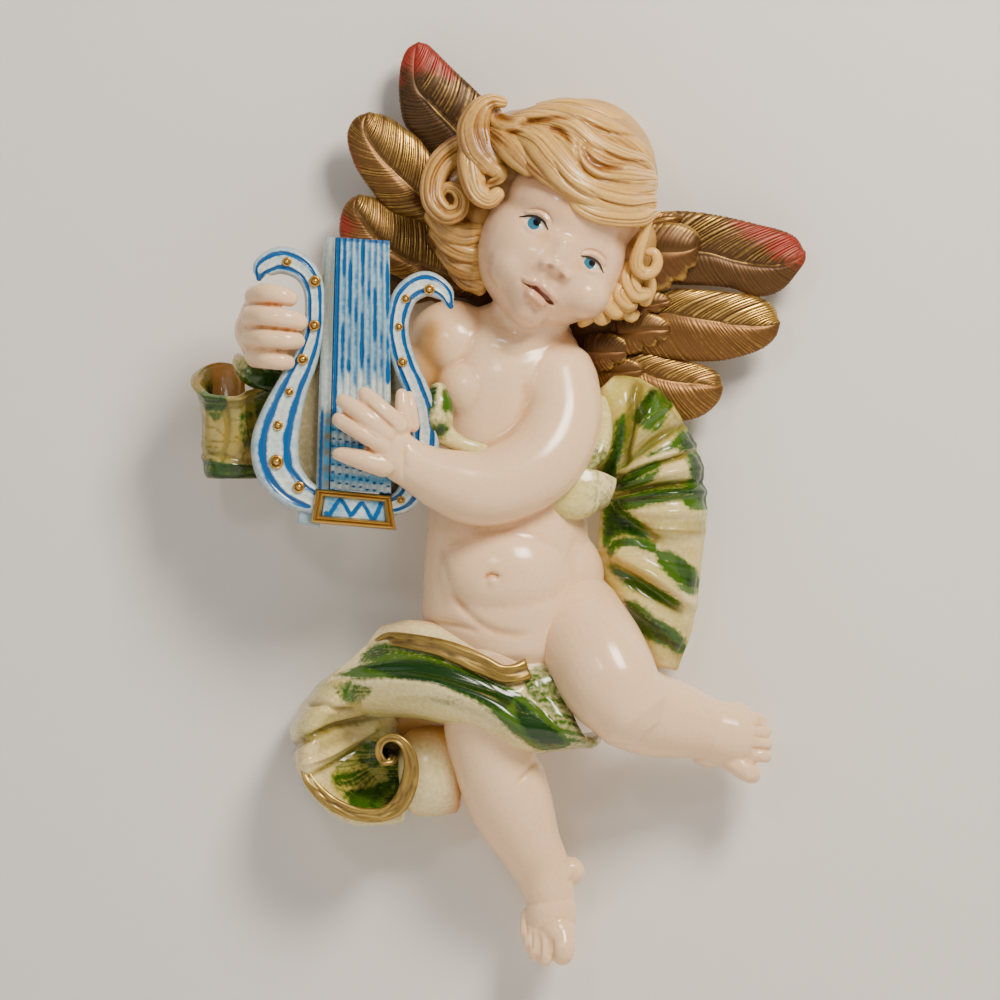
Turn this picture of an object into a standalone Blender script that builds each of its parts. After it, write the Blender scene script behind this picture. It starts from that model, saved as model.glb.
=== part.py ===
"""Cherub wall plaque: a moulded figure with lyre and drapery, and two wings fixed behind its shoulders.

The plaque hangs on a wall: +Z is up, the wall is the plane y = 0 and the figure stands out towards -Y.
The origin is on the flat back between the shoulders, where the plaque hangs.
Sizes below are in millimetres; a point is (x, out, z), where out is how far it stands out from the wall.
"""
import bmesh
import bpy
import numpy as np
from mathutils import Euler, Matrix, Vector

# Driving sizes, in millimetres
MM = 0.001
CLAY_GRID = 1.15            # size of the cells that melt the figure's pieces together
WING_GRID = 0.9
FIGURE_TRIANGLES = 6900
WING_TRIANGLES = 1050
WING_GAP = 0.6              # room between a wing and the figure in front of it
CLOTH = 3.2                 # thickness of the moulded cloth
BODY_SIDES, LOCK_SIDES, FINGER_SIDES = 22, 12, 10
BALL_SIDES, BALL_LEVELS = 32, 18
SHARP_ANGLE = 50            # degrees; edges sharper than this are shaded as edges
HEAD_ROLL = -29             # degrees; the head leans to the viewer's right
WALL_BOX = (400, 200, 500)  # what is cut away behind the wall plane
WALL_BOX_MIDDLE = -60       # height of its middle

FACE = (15, 32, 31.5)
FACE_RADII = (26.5, 26.5, 27.5)
SKULL = (24.5, 28, 53)
SKULL_RADII = (26.5, 29, 30.5)

FACE_FEATURES = [  # centre, radii
    ((9, 36, 21), (16, 19, 16)),
    ((2, 43, 26), (10, 13, 10)),
    ((26, 41, 16), (9.5, 12, 9)),
    ((6.5, 43.5, 10), (6.5, 8, 5.5)),
    ((20, 40, 46), (22, 18.5, 17)),
    ((16.4, 58.6, 26.2), (3.4, 3.4, 3)),
    ((18.2, 56.4, 31), (2.4, 4, 5)),
    ((10.4, 54.8, 18.2), (5.6, 3, 1.7)),
    ((8.6, 54.4, 14.2), (4.2, 3, 1.9)),
    ((9, 53.6, 43.6), (5.4, 3, 2.6)),
    ((29.6, 51.6, 28.6), (5, 3, 2.6)),
]

TRUNK_LINE = [
    (0, 19, -12, 27), (-1, 19, -35, 28), (-1, 19, -60, 28.5), (-1, 19, -80, 30), (0, 19, -98, 32),
]
TRUNK_THICK = 0.82
TRUNK_LUMPS = [  # centre, radii: belly, backing of the neck, far shoulder and the two sides of the chest
    ((-2, 29, -84), (24.5, 19.5, 20.5)),
    ((6, 8, -2), (18, 16, 20)),
    ((-21, 20, -1), (16, 17, 15.5)),
    ((-14, 31, -18), (13, 9, 12)),
    ((9, 31, -18), (13, 9, 12)),
]
NECK = [(0, 18, -6, 15), (6, 24, 6, 14.5), (10, 27, 16, 15)]

# A limb is a row of (x, out, z, radius).
NEAR_ARM = [
    (16.5, 26, -15, 15.5), (18, 33, -30, 15), (10, 41, -45, 14.6),
    (-8, 46, -53.3, 13.8), (-22, 49, -51, 11.6), (-35, 51.5, -45.5, 8.6),
]
FAR_ARM = [(-21, 20, -2, 14), (-48, 16, -20, 12.5), (-70, 20, -12, 10.5), (-86, 32, -2, 8)]
BENT_THIGH = [(25, 22, -100, 17), (30, 34, -112, 18), (36, 40, -123, 17.5), (41, 41, -130, 15.8)]
BENT_SHIN = [(44, 37, -132, 15.3), (57, 28, -136, 14.2), (69, 22, -139.7, 11.6)]
HANGING_LEG = [
    (-6, 24, -116, 18), (-7.5, 28, -138, 16.2), (-4.5, 28, -154, 15), (0.5, 24, -167, 15.2),
    (6, 20, -180, 12.5), (11.5, 17, -190, 10), (14.5, 16, -200, 9),
]
FEET = [
    ((79.5, 20, -142), (11.5, 9.5, 13.8), 8),
    ((15, 17, -207), (9.2, 8.5, 11), 0),
    ((22.3, 15, -191.5), (4.6, 5, 5), 0),
]
TOES = [
    [(84, 22, -135.8, 2.6), (90.3, 21, -137, 2.3)],
    [(84, 23, -140, 2.6), (92, 22, -141, 2.3)],
    [(84, 24, -144.6, 2.7), (92.3, 22, -145.4, 2.4)],
    [(84, 25, -149.4, 2.8), (92, 23, -150.4, 2.6)],
    [(80, 24, -152.5, 4.2), (86.6, 24, -156.6, 3.7)],
    [(18.8, 22, -214, 4.5), (19.1, 25, -221, 4.1)],
    [(12.8, 22, -214, 2.8), (12.6, 24, -223.8, 2.4)],
    [(9.6, 20, -212, 2.6), (8.9, 22, -222, 2.2)],
    [(7.6, 18, -210, 2.4), (6.6, 20, -218.6, 2)],
    [(6.2, 16, -207, 2.2), (5.2, 18, -214.4, 1.8)],
]
PALMS = [((-43, 54.5, -40), (9.4, 6.5, 10.6), 0), ((-89.5, 42, 3.5), (8.6, 9.5, 13.3), 0)]
FINGERS = [
    [(-41, 58, -29.5, 3.7), (-47, 60, -24.5, 3.5), (-51, 57, -20.5, 3)],
    [(-46, 59, -33, 3.6), (-53, 61, -27.5, 3.3), (-59.4, 57.5, -22.6, 2.7)],
    [(-48, 59, -37.5, 3.6), (-55, 61, -33, 3.3), (-61, 57.5, -29, 2.7)],
    [(-47, 58, -44.5, 3.8), (-54, 59.5, -42.5, 3), (-60.5, 57.5, -41.3, 2.3)],
    [(-38, 54, -33, 3.4), (-37, 54, -26, 3.3), (-37.3, 53, -20.6, 2.6)],
    [(-90.5, 48, 14.8, 4), (-84, 53, 15.2, 3.7), (-77.4, 51.5, 14.2, 3)],
    [(-90.5, 50, 7.2, 4.1), (-83, 55, 7, 3.9), (-74.5, 53, 5.6, 3.1)],
    [(-90.5, 49, 0, 4), (-83, 54, -0.8, 3.7), (-75.5, 52, -1, 3)],
    [(-90, 47, -6.5, 3.9), (-84.5, 50, -7.8, 3.7), (-79, 49.5, -8.4, 2.9)],
]

# Hair: locks laid over the skull, then the curls at the two sides
HAIR_CAP = [
    ((25.5, 27, 55.5), (28, 28.5, 31.5)), ((2, 22, 62), (20, 18, 23)), ((6, 28, 73), (12, 16, 12)),
]
LOCKS = [
    [(-3, 44, 85, 2.6), (-9, 41, 82.5, 5.4), (-13, 40, 75, 6.6),
     (-11, 42, 67, 6.6), (-10.5, 44, 59, 5.6), (-12.5, 44, 52.5, 4.2),
     (-8.5, 45, 48.8, 3.6), (-4.5, 45, 51, 3), (-5, 44, 54.5, 2)],
    [(-5, 42, 78, 4), (2, 50, 74, 4.6), (6.5, 54, 67, 5), (9, 56, 61.5, 3.4)],
    [(0, 46, 77, 3), (8, 53, 71.5, 5.4), (14, 57, 63.5, 6),
     (21, 58.5, 55.5, 5.6), (31, 56, 49, 5.4), (48, 42, 46, 5)],
    [(4, 44, 79.5, 3.4), (14, 52, 76, 5.6), (21, 56.5, 69, 6.4),
     (28, 56.5, 60, 7.4), (38, 52, 54, 7), (50.5, 36, 54, 4.6)],
    [(8, 40, 82, 4.4), (20, 48, 80, 6.6), (32, 50, 73, 7.6), (42, 43, 65, 7.4), (51, 32, 60, 4)],
    [(12, 34, 83, 5), (24, 37, 82.5, 6), (36, 36, 77.5, 6.8), (45, 31, 69, 6.6), (50.5, 24, 61, 4)],
    [(21, 56.5, 50.5, 1.8), (26.5, 57, 45.6, 3), (35, 55, 42.8, 3.4),
     (44, 49, 43, 3.4), (50, 38, 45, 2.6)],
    [(-9, 26, 70, 6), (-20, 31, 66, 6), (-27, 34, 58, 5), (-27.3, 36, 49, 4.8),
     (-21, 37, 44, 4.4), (-16.2, 38, 48, 3.7), (-18, 38, 53.5, 3), (-22, 36, 53, 2)],
    [(-18, 26, 44, 7), (-18.4, 31, 38, 6.6), (-17, 31, 31, 6.4),
     (-14.6, 29, 24.5, 5.4), (-11.5, 26, 19, 3.6)],
    [(-12, 24, 48, 9), (-13, 22, 36, 9), (-11, 20, 26, 7)],
    [(49, 36, 41, 2.4), (46.5, 36, 34, 3), (45, 34, 28.5, 3.6), (47.5, 32, 24.6, 3.2),
     (52, 31, 26.4, 2.8), (52.4, 31, 31, 2.2), (49.5, 32, 31, 1.6)],
    [(46, 20, 34, 8), (45, 20, 24, 8), (42, 22, 15, 6)],
    [(44, 27, 20, 5), (39.5, 29, 13.6, 4.2), (37.4, 29, 9.4, 3.6)],
    [(39, 29, 12, 4), (33, 31, 8, 3.8), (27, 31, 7, 2.8), (23.6, 31, 7, 2)],
]

# Lyre, in its own plane: (across from its middle, up), then set on to the plaque
LYRE_MIDDLE = (-55, 46, 0)
LYRE_SLANT = -0.13          # how far its level lines fall towards the viewer's right
BOARD_TOP, BOARD_FOOT = 35, -54
BOARD_WIDTH = (22.5, 25)     # at the top and at the foot
BOARD_THICK = 9
STRING_COUNT = 9
YOKE = [  # across, up, half width
    (-14, -60, 4.2), (-22, -57, 5.2), (-28, -50.6, 6.6), (-30.2, -41.5, 7.2), (-27.8, -31.6, 6.6),
    (-23.2, -20, 5.4), (-18, -9.4, 4.3), (-14.8, 0, 3.4), (-14, 8.2, 3.2), (-14.6, 17, 3.6),
    (-18, 22.8, 4), (-24.4, 25.2, 4.1), (-29.6, 23.8, 3.6), (-33, 19.4, 2.6),
]
YOKE_THICK = 5.2
YOKE_FLAT = 0.8             # its depth against its width
WEB_INWARD, WEB_BACK = 0.62, -4.5  # the web's place between yoke and board, and how far it lies back
WEB_HALF, WEB_NARROWING, WEB_WIDEST, WEB_FLAT = 8.5, 0.12, -34, 0.4
FLUTE_DEPTH = 0.5
BASE = ((-56, 46, -60.8), (27.5, 13, 12.4))
PEGS = [
    (-24.4, 24.4), (-14.6, 18.6), (-14.4, 3.2), (-18.8, -10),
    (-24, -22), (-28, -34.6), (-28.6, -47.6), (-20.6, -55.6),
]
PEG_RADIUS = 1.5

# Cloth: each piece is a surface through guide lines of (x, out, z), then given its thickness
SASH = [
    [(-47, 14, -104), (-35, 24, -102.5), (-20, 30, -105),
     (-6, 33, -111), (3, 34, -113), (14, 32, -113)],
    [(-50, 18, -110), (-40, 31, -106.6), (-27, 39, -108.5),
     (-14, 43, -113.6), (-3, 45, -120), (16, 42, -120)],
    [(-56, 20, -116), (-43, 31, -113), (-28, 40, -114),
     (-12, 44, -120.5), (4, 46, -129), (24, 42, -130)],
    [(-64, 22, -121.6), (-49, 35, -120.4), (-32, 45, -121.5),
     (-14, 49, -127), (4, 50, -136), (32, 40, -140)],
    [(-66, 20, -128), (-50, 31, -128), (-33, 40, -129),
     (-14, 44, -134), (6, 45, -143), (34, 34, -143.6)],
    [(-62, 10, -134), (-47, 14, -134), (-32, 18, -134.4),
     (-14, 24, -138), (6, 28, -145.6), (33, 22, -143)],
]
BELL = [
    [(-50, 8, -112), (-64, 7, -122), (-75, 7, -134), (-77.5, 7, -148),
     (-71, 7, -162), (-58, 7, -173), (-42, 7, -173.6)],
    [(-49, 24, -113), (-60, 26, -121.5), (-71, 29, -133), (-74.6, 33, -147),
     (-70, 34, -160), (-57, 34, -171), (-41, 30, -172)],
    [(-47, 33, -117), (-56, 32, -126), (-65, 31, -136), (-68.6, 30, -148),
     (-64.6, 28, -158), (-55, 27, -166), (-41, 27, -167)],
    [(-44, 30, -124), (-50, 26, -130), (-57, 24, -139), (-59, 20, -149),
     (-57, 18, -156), (-51, 18, -161), (-42, 20, -161)],
    [(-40, 18, -130), (-44, 14, -136), (-48, 12, -144), (-49, 10, -149),
     (-48, 10, -152), (-46, 10, -154), (-41, 12, -154)],
]
FOLD_BACK = [(-58, 5, -136, 9), (-40, 8, -134, 10), (-22, 10, -136, 12)]
CURL_EDGE = [
    (-45, 24, -171, 2.6), (-38.5, 29, -167, 3), (-35.6, 32, -159, 3.2),
    (-35.8, 34, -151.5, 3.4), (-39.4, 35, -145.4, 3.2), (-44.4, 34, -143.6, 2.6),
    (-46.6, 31, -147.4, 2.2), (-44.2, 29, -151, 1.9), (-41.6, 28, -150, 1.4),
]
ROLL = [(-43, 15, -156, 15.6), (-33, 15, -155.4, 16.3), (-20, 14, -154.4, 16)]
SWIRL = [
    [(31, 10, -18), (35, 17, -36), (35.4, 18, -50), (36, 18, -56), (37, 17, -64),
     (36.6, 16, -74), (34.6, 16, -82), (38, 16, -92), (44, 14, -104), (50, 12, -119)],
    [(33, 19, -18), (37, 25, -34), (40, 26, -46), (42.6, 26, -56), (44.6, 25, -66),
     (44.6, 25, -76), (43.6, 24, -86), (46, 22, -95), (50, 19, -106), (53, 15, -118)],
    [(35, 22, -15.6), (46, 25, -22), (53, 26, -34), (57, 27, -46), (59.4, 27, -60),
     (59.4, 26, -74), (58.4, 24, -86), (57.6, 22, -96), (57, 18, -107), (56.6, 14, -118)],
    [(36, 13, -15), (48, 13, -14.6), (58.6, 13, -25), (65.4, 13, -39), (68.6, 13, -56),
     (68.4, 13, -74), (66.4, 12, -88), (64.6, 11, -98), (62, 10, -108), (59, 9, -118)],
]
SWIRL_PLEATS = 8.5
PLEAT_HEIGHT = 2.4
UNDER_ARM = [
    [(4, 26, -52), (16, 32, -46), (26, 30, -45), (36, 26, -46), (41, 24, -36)],
    [(5, 30, -57), (16, 32, -55), (26, 30, -54), (34, 26, -53), (39, 26, -48)],
    [(6, 24, -61.4), (16, 24, -62.2), (26, 20, -62.4), (33, 18, -57), (38, 18, -55)],
]
SCROLL = [  # left end of the cloth: the guide lines run round the roll, the first one is its upper edge
    [(-79, 26, -8), (-89, 35, -15), (-98, 38, -20), (-107, 36, -20), (-112.6, 28, -14),
     (-109, 19, -9), (-101, 16, -8.6), (-96.6, 22, -12), (-99, 27, -15)],
    [(-80, 27, -24), (-90, 35, -28), (-98, 38, -30), (-105.6, 36, -30), (-110, 28, -28),
     (-106, 20, -26), (-100, 18, -26), (-96, 22, -26), (-98, 27, -27)],
    [(-82, 26, -44), (-91, 32, -47), (-98, 35, -50), (-105, 33, -48.4), (-109.6, 26, -44),
     (-106, 18, -43), (-100, 16, -43), (-96, 20, -43), (-98, 25, -44)],
]
BREAST_CLOTH = [
    [(-26.5, 40, -19.6, 4.6), (-26, 42, -27, 5.2), (-25, 42.5, -34, 4.4),
     (-19, 42, -38.4, 3.2), (-5, 38, -41, 2.4)],
    [(-20, 38, -36, 4.4), (-2, 32, -38, 6)],
]

# Wings: a feather is a row of (x, out, z, half width) along its shaft
LEFT_FEATHERS = [
    [(-6, 9, 56, 9), (-19, 10, 73, 12), (-27, 11, 87, 11.8),
     (-31, 11, 95.5, 9.6), (-32.9, 10, 102.1, 6.4)],
    [(-8, 12, 42, 9), (-28, 13.5, 54.5, 12), (-41, 14, 63.5, 13),
     (-49, 14, 70, 10.4), (-54.4, 13, 74.8, 6.4)],
    [(-10, 12, 26, 8), (-32, 15, 32, 10.4), (-45, 16, 39, 11.4),
     (-52, 15, 42.8, 8.8), (-56.2, 14, 45.2, 6)],
    [(-10, 7, 16, 8), (-34, 8, 21, 9.6), (-45, 8, 25, 8.4), (-51, 7, 27.6, 6)],
    [(-8, 16, 38, 7), (-20, 18, 36, 7.6), (-26, 17, 36, 5.6)],
]
RIGHT_FEATHERS = [
    [(26, 9, 22, 9), (50, 12, 32, 12), (70, 13, 32.4, 13.2),
     (87, 13, 30, 12), (95.6, 12, 30.4, 8.8), (101.9, 11, 31.2, 6)],
    [(24, 11, 4, 8), (48, 14, 6, 9.6), (66, 15, 5.8, 12.6),
     (78, 15, 5.4, 11.8), (86, 14, 5.6, 9), (91.4, 12, 6, 6.2)],
    [(22, 10, -8, 7), (44, 13, -11, 8), (57, 13.5, -15.6, 9.6),
     (65.6, 13, -17.6, 8.2), (71.4, 12, -17.8, 5.6)],
    [(26, 14, 18, 8), (44, 18, 29, 10), (55, 18.5, 31.6, 9.8), (62, 17, 31.8, 7)],
    [(24, 15, 4, 8), (40, 18, 6, 8), (49, 18, 5, 7), (54, 17, 5, 5.2)],
]
FEATHER_THICK = 0.17        # of its half width, to each side
WING_ROOTS = [((-11, 7, 40), (13, 10, 24)), ((25, 7, 8), (13, 10, 18))]

COLOURS = {
    "cherub_figure": ((0.79, 0.62, 0.46), 0.22, 0.0),
    "left_wing": ((0.30, 0.18, 0.055), 0.36, 0.85),
    "right_wing": ((0.30, 0.18, 0.055), 0.36, 0.85),
}


def clear_scene():
    for obj in list(bpy.data.objects):
        bpy.data.objects.remove(obj, do_unlink=True)


def collection(name):
    made = bpy.data.collections.new(name)
    bpy.context.scene.collection.children.link(made)
    return made


def place(x, out, z):
    """A point of the plaque as a Blender vector in metres."""
    return Vector((x * MM, -out * MM, z * MM))


def through(points, count):
    """Samples evenly along a smooth line through the points. Every number of a point is carried along."""
    points = np.array(points, float)
    padded = np.vstack([2 * points[0] - points[1], points, 2 * points[-1] - points[-2]])
    spots = np.linspace(0, len(points) - 1, count)
    first = np.minimum(spots.astype(int), len(points) - 2)
    t = (spots - first)[:, None]
    a, b, c, d = (padded[first + k] for k in range(4))
    square = 2 * a - 5 * b + 4 * c - d
    cube = 3 * b - a - 3 * c + d
    return 0.5 * (2 * b + (c - a) * t + square * t ** 2 + cube * t ** 3)


def ball(clay, centre, radii, roll=0):
    """An egg-shaped lump, turned in the plane of the wall."""
    size = Matrix.Diagonal((radii[0] * MM, radii[1] * MM, radii[2] * MM, 1))
    turned = Euler((0, np.radians(-roll), 0)).to_matrix().to_4x4()
    shape = Matrix.Translation(place(*centre)) @ turned @ size
    lump = bmesh.new()
    bmesh.ops.create_uvsphere(lump, u_segments=BALL_SIDES, v_segments=BALL_LEVELS, radius=1, matrix=shape)
    mesh = bpy.data.meshes.new("lump")
    lump.to_mesh(mesh)
    lump.free()
    clay.from_mesh(mesh)
    bpy.data.meshes.remove(mesh)


def block(clay, centre, sizes, shear=0.0):
    """A box whose level edges fall by shear towards +X."""
    size = Matrix.Diagonal((sizes[0] * MM, sizes[1] * MM, sizes[2] * MM, 1))
    slant = Matrix.Identity(4)
    slant[2][0] = shear
    bmesh.ops.create_cube(clay, size=1, matrix=Matrix.Translation(place(*centre)) @ slant @ size)


def rows_to_faces(clay, rows, ring):
    """Joins rows of points into a skin. A ring closes each row on itself and caps the two ends."""
    verts = [[clay.verts.new(place(*p)) for p in row] for row in rows]
    for near, far in zip(verts, verts[1:]):
        for k in range(len(near) if ring else len(near) - 1):
            n = (k + 1) % len(near)
            clay.faces.new((near[k], near[n], far[n], far[k]))
    if ring:
        clay.faces.new(verts[0][::-1])
        clay.faces.new(verts[-1])
    return verts


def tube(clay, path, thick=1.0, sides=14, per_span=4):
    """A round-ended limb along (x, out, z, radius). thick below 1 flattens it towards the wall."""
    line = through(path, per_span * (len(path) - 1) + 1)
    along = np.gradient(line[:, :3], axis=0)
    along /= np.linalg.norm(along, axis=1)[:, None]
    caps = np.radians((75, 50, 25))

    def cap(k, side, angle):
        spot = line[k, :3] + side * along[k] * line[k, 3] * np.sin(angle)
        return np.append(spot, line[k, 3] * np.cos(angle))

    start = [cap(0, -1, a) for a in caps]
    end = [cap(-1, 1, a) for a in caps[::-1]]
    line = np.vstack([start, line, end])
    along = np.vstack([along[:1]] * 3 + [along] + [along[-1:]] * 3)
    outward = np.array([0, 1, 0]) - along * along[:, 1:2]
    outward /= np.linalg.norm(outward, axis=1)[:, None]
    sideways = np.cross(along, outward)
    turn = np.linspace(0, 2 * np.pi, sides, endpoint=False)
    radius = line[:, 3, None, None]
    rows = (
        line[:, None, :3]
        + radius * thick * outward[:, None] * np.sin(turn)[None, :, None]
        + radius * sideways[:, None] * np.cos(turn)[None, :, None]
    )
    rows_to_faces(clay, rows, ring=True)


def cloth(clay, guides, along=26, across=14, pleats=0.0, height=0.0, thick=CLOTH):
    """A moulded sheet through guide lines, each a row of (x, out, z), thickened behind its face."""
    lines = np.array([through(guide, along) for guide in guides])
    face = np.array([through(lines[:, k], across) for k in range(along)])
    if pleats:
        wave = np.cos(2 * np.pi * pleats * np.linspace(0, 1, along))
        belly = np.sin(np.pi * np.linspace(0, 1, across)) ** 0.7
        face[:, :, 1] += height * wave[:, None] * belly[None, :]
    du, dv = np.gradient(face, axis=0), np.gradient(face, axis=1)
    normal = np.cross(du, dv)
    normal /= np.linalg.norm(normal, axis=2)[:, :, None] + 1e-9
    if len(guides[0]) < 9:  # an open sheet faces the viewer; the scroll winds, so it keeps its own side
        normal *= np.sign(normal[:, :, 1:2] + 1e-9)
    back = face - normal * thick
    rows = [np.vstack([face[k], back[k][::-1]]) for k in range(along)]
    rows_to_faces(clay, rows, ring=True)


def lyre_point(across, up, out=0.0):
    return (LYRE_MIDDLE[0] + across, LYRE_MIDDLE[1] + out, LYRE_MIDDLE[2] + up + LYRE_SLANT * across)


def add_lyre(clay):
    """Two curved yokes, a fluted string board between them, the web behind and the base."""
    for side in (1, -1):
        yoke = [(*lyre_point(side * across, up), half) for across, up, half in YOKE]
        tube(clay, yoke, thick=YOKE_FLAT)
        web = []
        for across, up, _ in YOKE[1:7]:
            half = WEB_HALF - abs(up - WEB_WIDEST) * WEB_NARROWING
            web.append((*lyre_point(side * across * WEB_INWARD, up, WEB_BACK), half))
        tube(clay, web, thick=WEB_FLAT)
    rows = []
    for up in np.linspace(BOARD_FOOT, BOARD_TOP, 12):
        share = (up - BOARD_FOOT) / (BOARD_TOP - BOARD_FOOT)
        half = (BOARD_WIDTH[1] + (BOARD_WIDTH[0] - BOARD_WIDTH[1]) * share) / 2
        across = np.linspace(-half, half, STRING_COUNT * 4 + 1)
        flute = FLUTE_DEPTH * np.cos(np.pi * STRING_COUNT * (across + half) / half)
        front = [lyre_point(a, up, BOARD_THICK / 2 + f) for a, f in zip(across, flute)]
        back = [lyre_point(a, up, -BOARD_THICK / 2) for a in (half, -half)]
        rows.append(front + back)
    rows_to_faces(clay, rows, ring=True)
    block(clay, *BASE, shear=LYRE_SLANT)
    for side in (1, -1):
        for across, up in PEGS:
            centre = lyre_point(side * across, up, YOKE_THICK / 2)
            ball(clay, centre, (PEG_RADIUS, PEG_RADIUS + 1, PEG_RADIUS))


def add_cloth(clay):
    cloth(clay, SASH)
    cloth(clay, BELL)
    cloth(clay, SWIRL, along=72, pleats=SWIRL_PLEATS, height=PLEAT_HEIGHT, thick=5)
    cloth(clay, UNDER_ARM, thick=4)
    cloth(clay, SCROLL, along=40, thick=2.6)
    tube(clay, CURL_EDGE, thick=1.6, sides=10)
    tube(clay, ROLL)
    tube(clay, FOLD_BACK)
    for path in BREAST_CLOTH:
        tube(clay, path)


def add_body(clay):
    tube(clay, TRUNK_LINE, thick=TRUNK_THICK, sides=BODY_SIDES)
    for centre, radii in TRUNK_LUMPS:
        ball(clay, centre, radii)
    ball(clay, FACE, FACE_RADII, HEAD_ROLL)
    ball(clay, SKULL, SKULL_RADII, HEAD_ROLL)
    for path in (NECK, NEAR_ARM, FAR_ARM, BENT_THIGH, BENT_SHIN, HANGING_LEG):
        tube(clay, path, sides=BODY_SIDES)
    for centre, radii, roll in FEET + PALMS:
        ball(clay, centre, radii, roll)
    for path in TOES + FINGERS:
        tube(clay, path, sides=FINGER_SIDES, per_span=3)


def add_face(clay):
    """Features of a plain child's face: nose, lips, chin, cheeks and the lids of the two eyes."""
    for centre, radii in FACE_FEATURES:
        ball(clay, centre, radii, HEAD_ROLL)


def add_hair(clay):
    for centre, radii in HAIR_CAP:
        ball(clay, centre, radii, HEAD_ROLL)
    for path in LOCKS:
        tube(clay, path, sides=LOCK_SIDES)


def modifier(obj, kind, **settings):
    made = obj.modifiers.new(kind.title(), kind)
    for key, value in settings.items():
        setattr(made, key, value)
    return made


def baked(obj):
    """Replaces the object's mesh by what its modifiers make of it."""
    graph = bpy.context.evaluated_depsgraph_get()
    mesh = bpy.data.meshes.new_from_object(obj.evaluated_get(graph))
    obj.modifiers.clear()
    obj.data = mesh
    return obj


def melted(name, group, fill, grid, triangles, smoothing=3):
    """One closed lump from many overlapping pieces, brought down to about the given number of triangles."""
    clay = bmesh.new()
    fill(clay)
    bmesh.ops.recalc_face_normals(clay, faces=clay.faces)
    mesh = bpy.data.meshes.new(name)
    clay.to_mesh(mesh)
    clay.free()
    obj = bpy.data.objects.new(name, mesh)
    group.objects.link(obj)
    modifier(obj, "REMESH", mode="VOXEL", voxel_size=grid * MM)
    modifier(obj, "SMOOTH", factor=0.5, iterations=smoothing)
    baked(obj)
    keep_largest(obj.data)
    modifier(obj, "DECIMATE", ratio=triangles / (2 * len(obj.data.polygons)), use_collapse_triangulate=True)
    return baked(obj)


def keep_largest(mesh):
    """Drops the small loose shells that melting can leave inside a lump."""
    shape = bmesh.new()
    shape.from_mesh(mesh)
    left, shells = set(shape.verts), []
    while left:
        shell, edge = set(), [left.pop()]
        while edge:
            vert = edge.pop()
            shell.add(vert)
            near = [e.other_vert(vert) for e in vert.link_edges]
            fresh = [v for v in near if v in left]
            left.difference_update(fresh)
            edge.extend(fresh)
        shells.append(shell)
    largest = max(shells, key=len)
    bmesh.ops.delete(shape, geom=[v for v in shape.verts if v not in largest], context="VERTS")
    shape.to_mesh(mesh)
    shape.free()


def cutter_box(name, group, centre, sizes):
    shape = bmesh.new()
    block(shape, centre, sizes)
    mesh = bpy.data.meshes.new(name)
    shape.to_mesh(mesh)
    shape.free()
    obj = bpy.data.objects.new(name, mesh)
    group.objects.link(obj)
    return as_cutter(obj)


def as_cutter(obj):
    obj.hide_render = True
    obj.display_type = "WIRE"
    return obj


def cut(obj, cutter):
    modifier(obj, "BOOLEAN", operation="DIFFERENCE", solver="EXACT", object=cutter)
    return baked(obj)


def fill_figure(clay):
    add_body(clay)
    add_face(clay)
    add_hair(clay)
    add_lyre(clay)
    add_cloth(clay)


def wing_filler(feathers, root):
    def fill(clay):
        ball(clay, *root)
        for path in feathers:
            tube(clay, path, thick=FEATHER_THICK, sides=16)
    return fill


def grown_copy(obj, group):
    """The figure, larger by the gap all over, which trims the wings where they go in behind it."""
    grown = bpy.data.objects.new("figure_room", obj.data.copy())
    group.objects.link(grown)
    modifier(grown, "DISPLACE", strength=WING_GAP * MM, mid_level=0)
    modifier(grown, "REMESH", mode="VOXEL", voxel_size=CLAY_GRID * MM)
    baked(grown)
    share = FIGURE_TRIANGLES / (2 * len(grown.data.polygons))
    modifier(grown, "DECIMATE", ratio=share, use_collapse_triangulate=True)
    return as_cutter(baked(grown))


def paint(obj):
    colour, roughness, metallic = COLOURS[obj.name]
    material = bpy.data.materials.new(obj.name + "_finish")
    material.use_nodes = True
    shader = material.node_tree.nodes["Principled BSDF"]
    shader.inputs["Base Color"].default_value = (*colour, 1)
    shader.inputs["Roughness"].default_value = roughness
    shader.inputs["Metallic"].default_value = metallic
    obj.data.materials.clear()
    obj.data.materials.append(material)
    obj.data.shade_smooth()
    obj.data.set_sharp_from_angle(angle=np.radians(SHARP_ANGLE))


def build():
    clear_scene()
    plaque = collection("cherub_wall_plaque")
    cutters = collection("cutters")
    width, depth, height = WALL_BOX
    wall = cutter_box("wall_cut", cutters, (0, -depth / 2, WALL_BOX_MIDDLE), (width, depth, height))
    figure = melted("cherub_figure", plaque, fill_figure, CLAY_GRID, FIGURE_TRIANGLES)
    cut(figure, wall)
    room = grown_copy(figure, cutters)
    wings = (("left_wing", LEFT_FEATHERS, WING_ROOTS[0]), ("right_wing", RIGHT_FEATHERS, WING_ROOTS[1]))
    for name, feathers, root in wings:
        wing = melted(name, plaque, wing_filler(feathers, root), WING_GRID, WING_TRIANGLES, smoothing=1)
        cut(wing, room)
        cut(wing, wall)
        keep_largest(wing.data)
        paint(wing)
    keep_largest(figure.data)
    paint(figure)


build()
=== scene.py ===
# %% [markdown]
# # Cherub wall plaque
#
# A moulded cherub that hangs on a wall and plays a small lyre. The figure is one casting, painted by hand:
# glossy ivory skin, honey hair, cream and green cloth with gold hems, a blue and white lyre. Two
# antique-gold wings are fixed behind the shoulders.
#
# The way it is made here follows the sculptor. Flesh is built up from overlapping lumps and tapered limbs,
# then melted into one skin and worked with small brushes: grooves, dents and swellings. Hair, cloth,
# feathers and the lyre are laid out as ribbons and sheets along drawn lines, because their detail runs
# along those lines. Every point is written as (x, out, z) in millimetres, where out is how far it stands
# out from the wall.

import bmesh
import bpy
import numpy as np
from mathutils import Euler, Matrix, Vector


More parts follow.
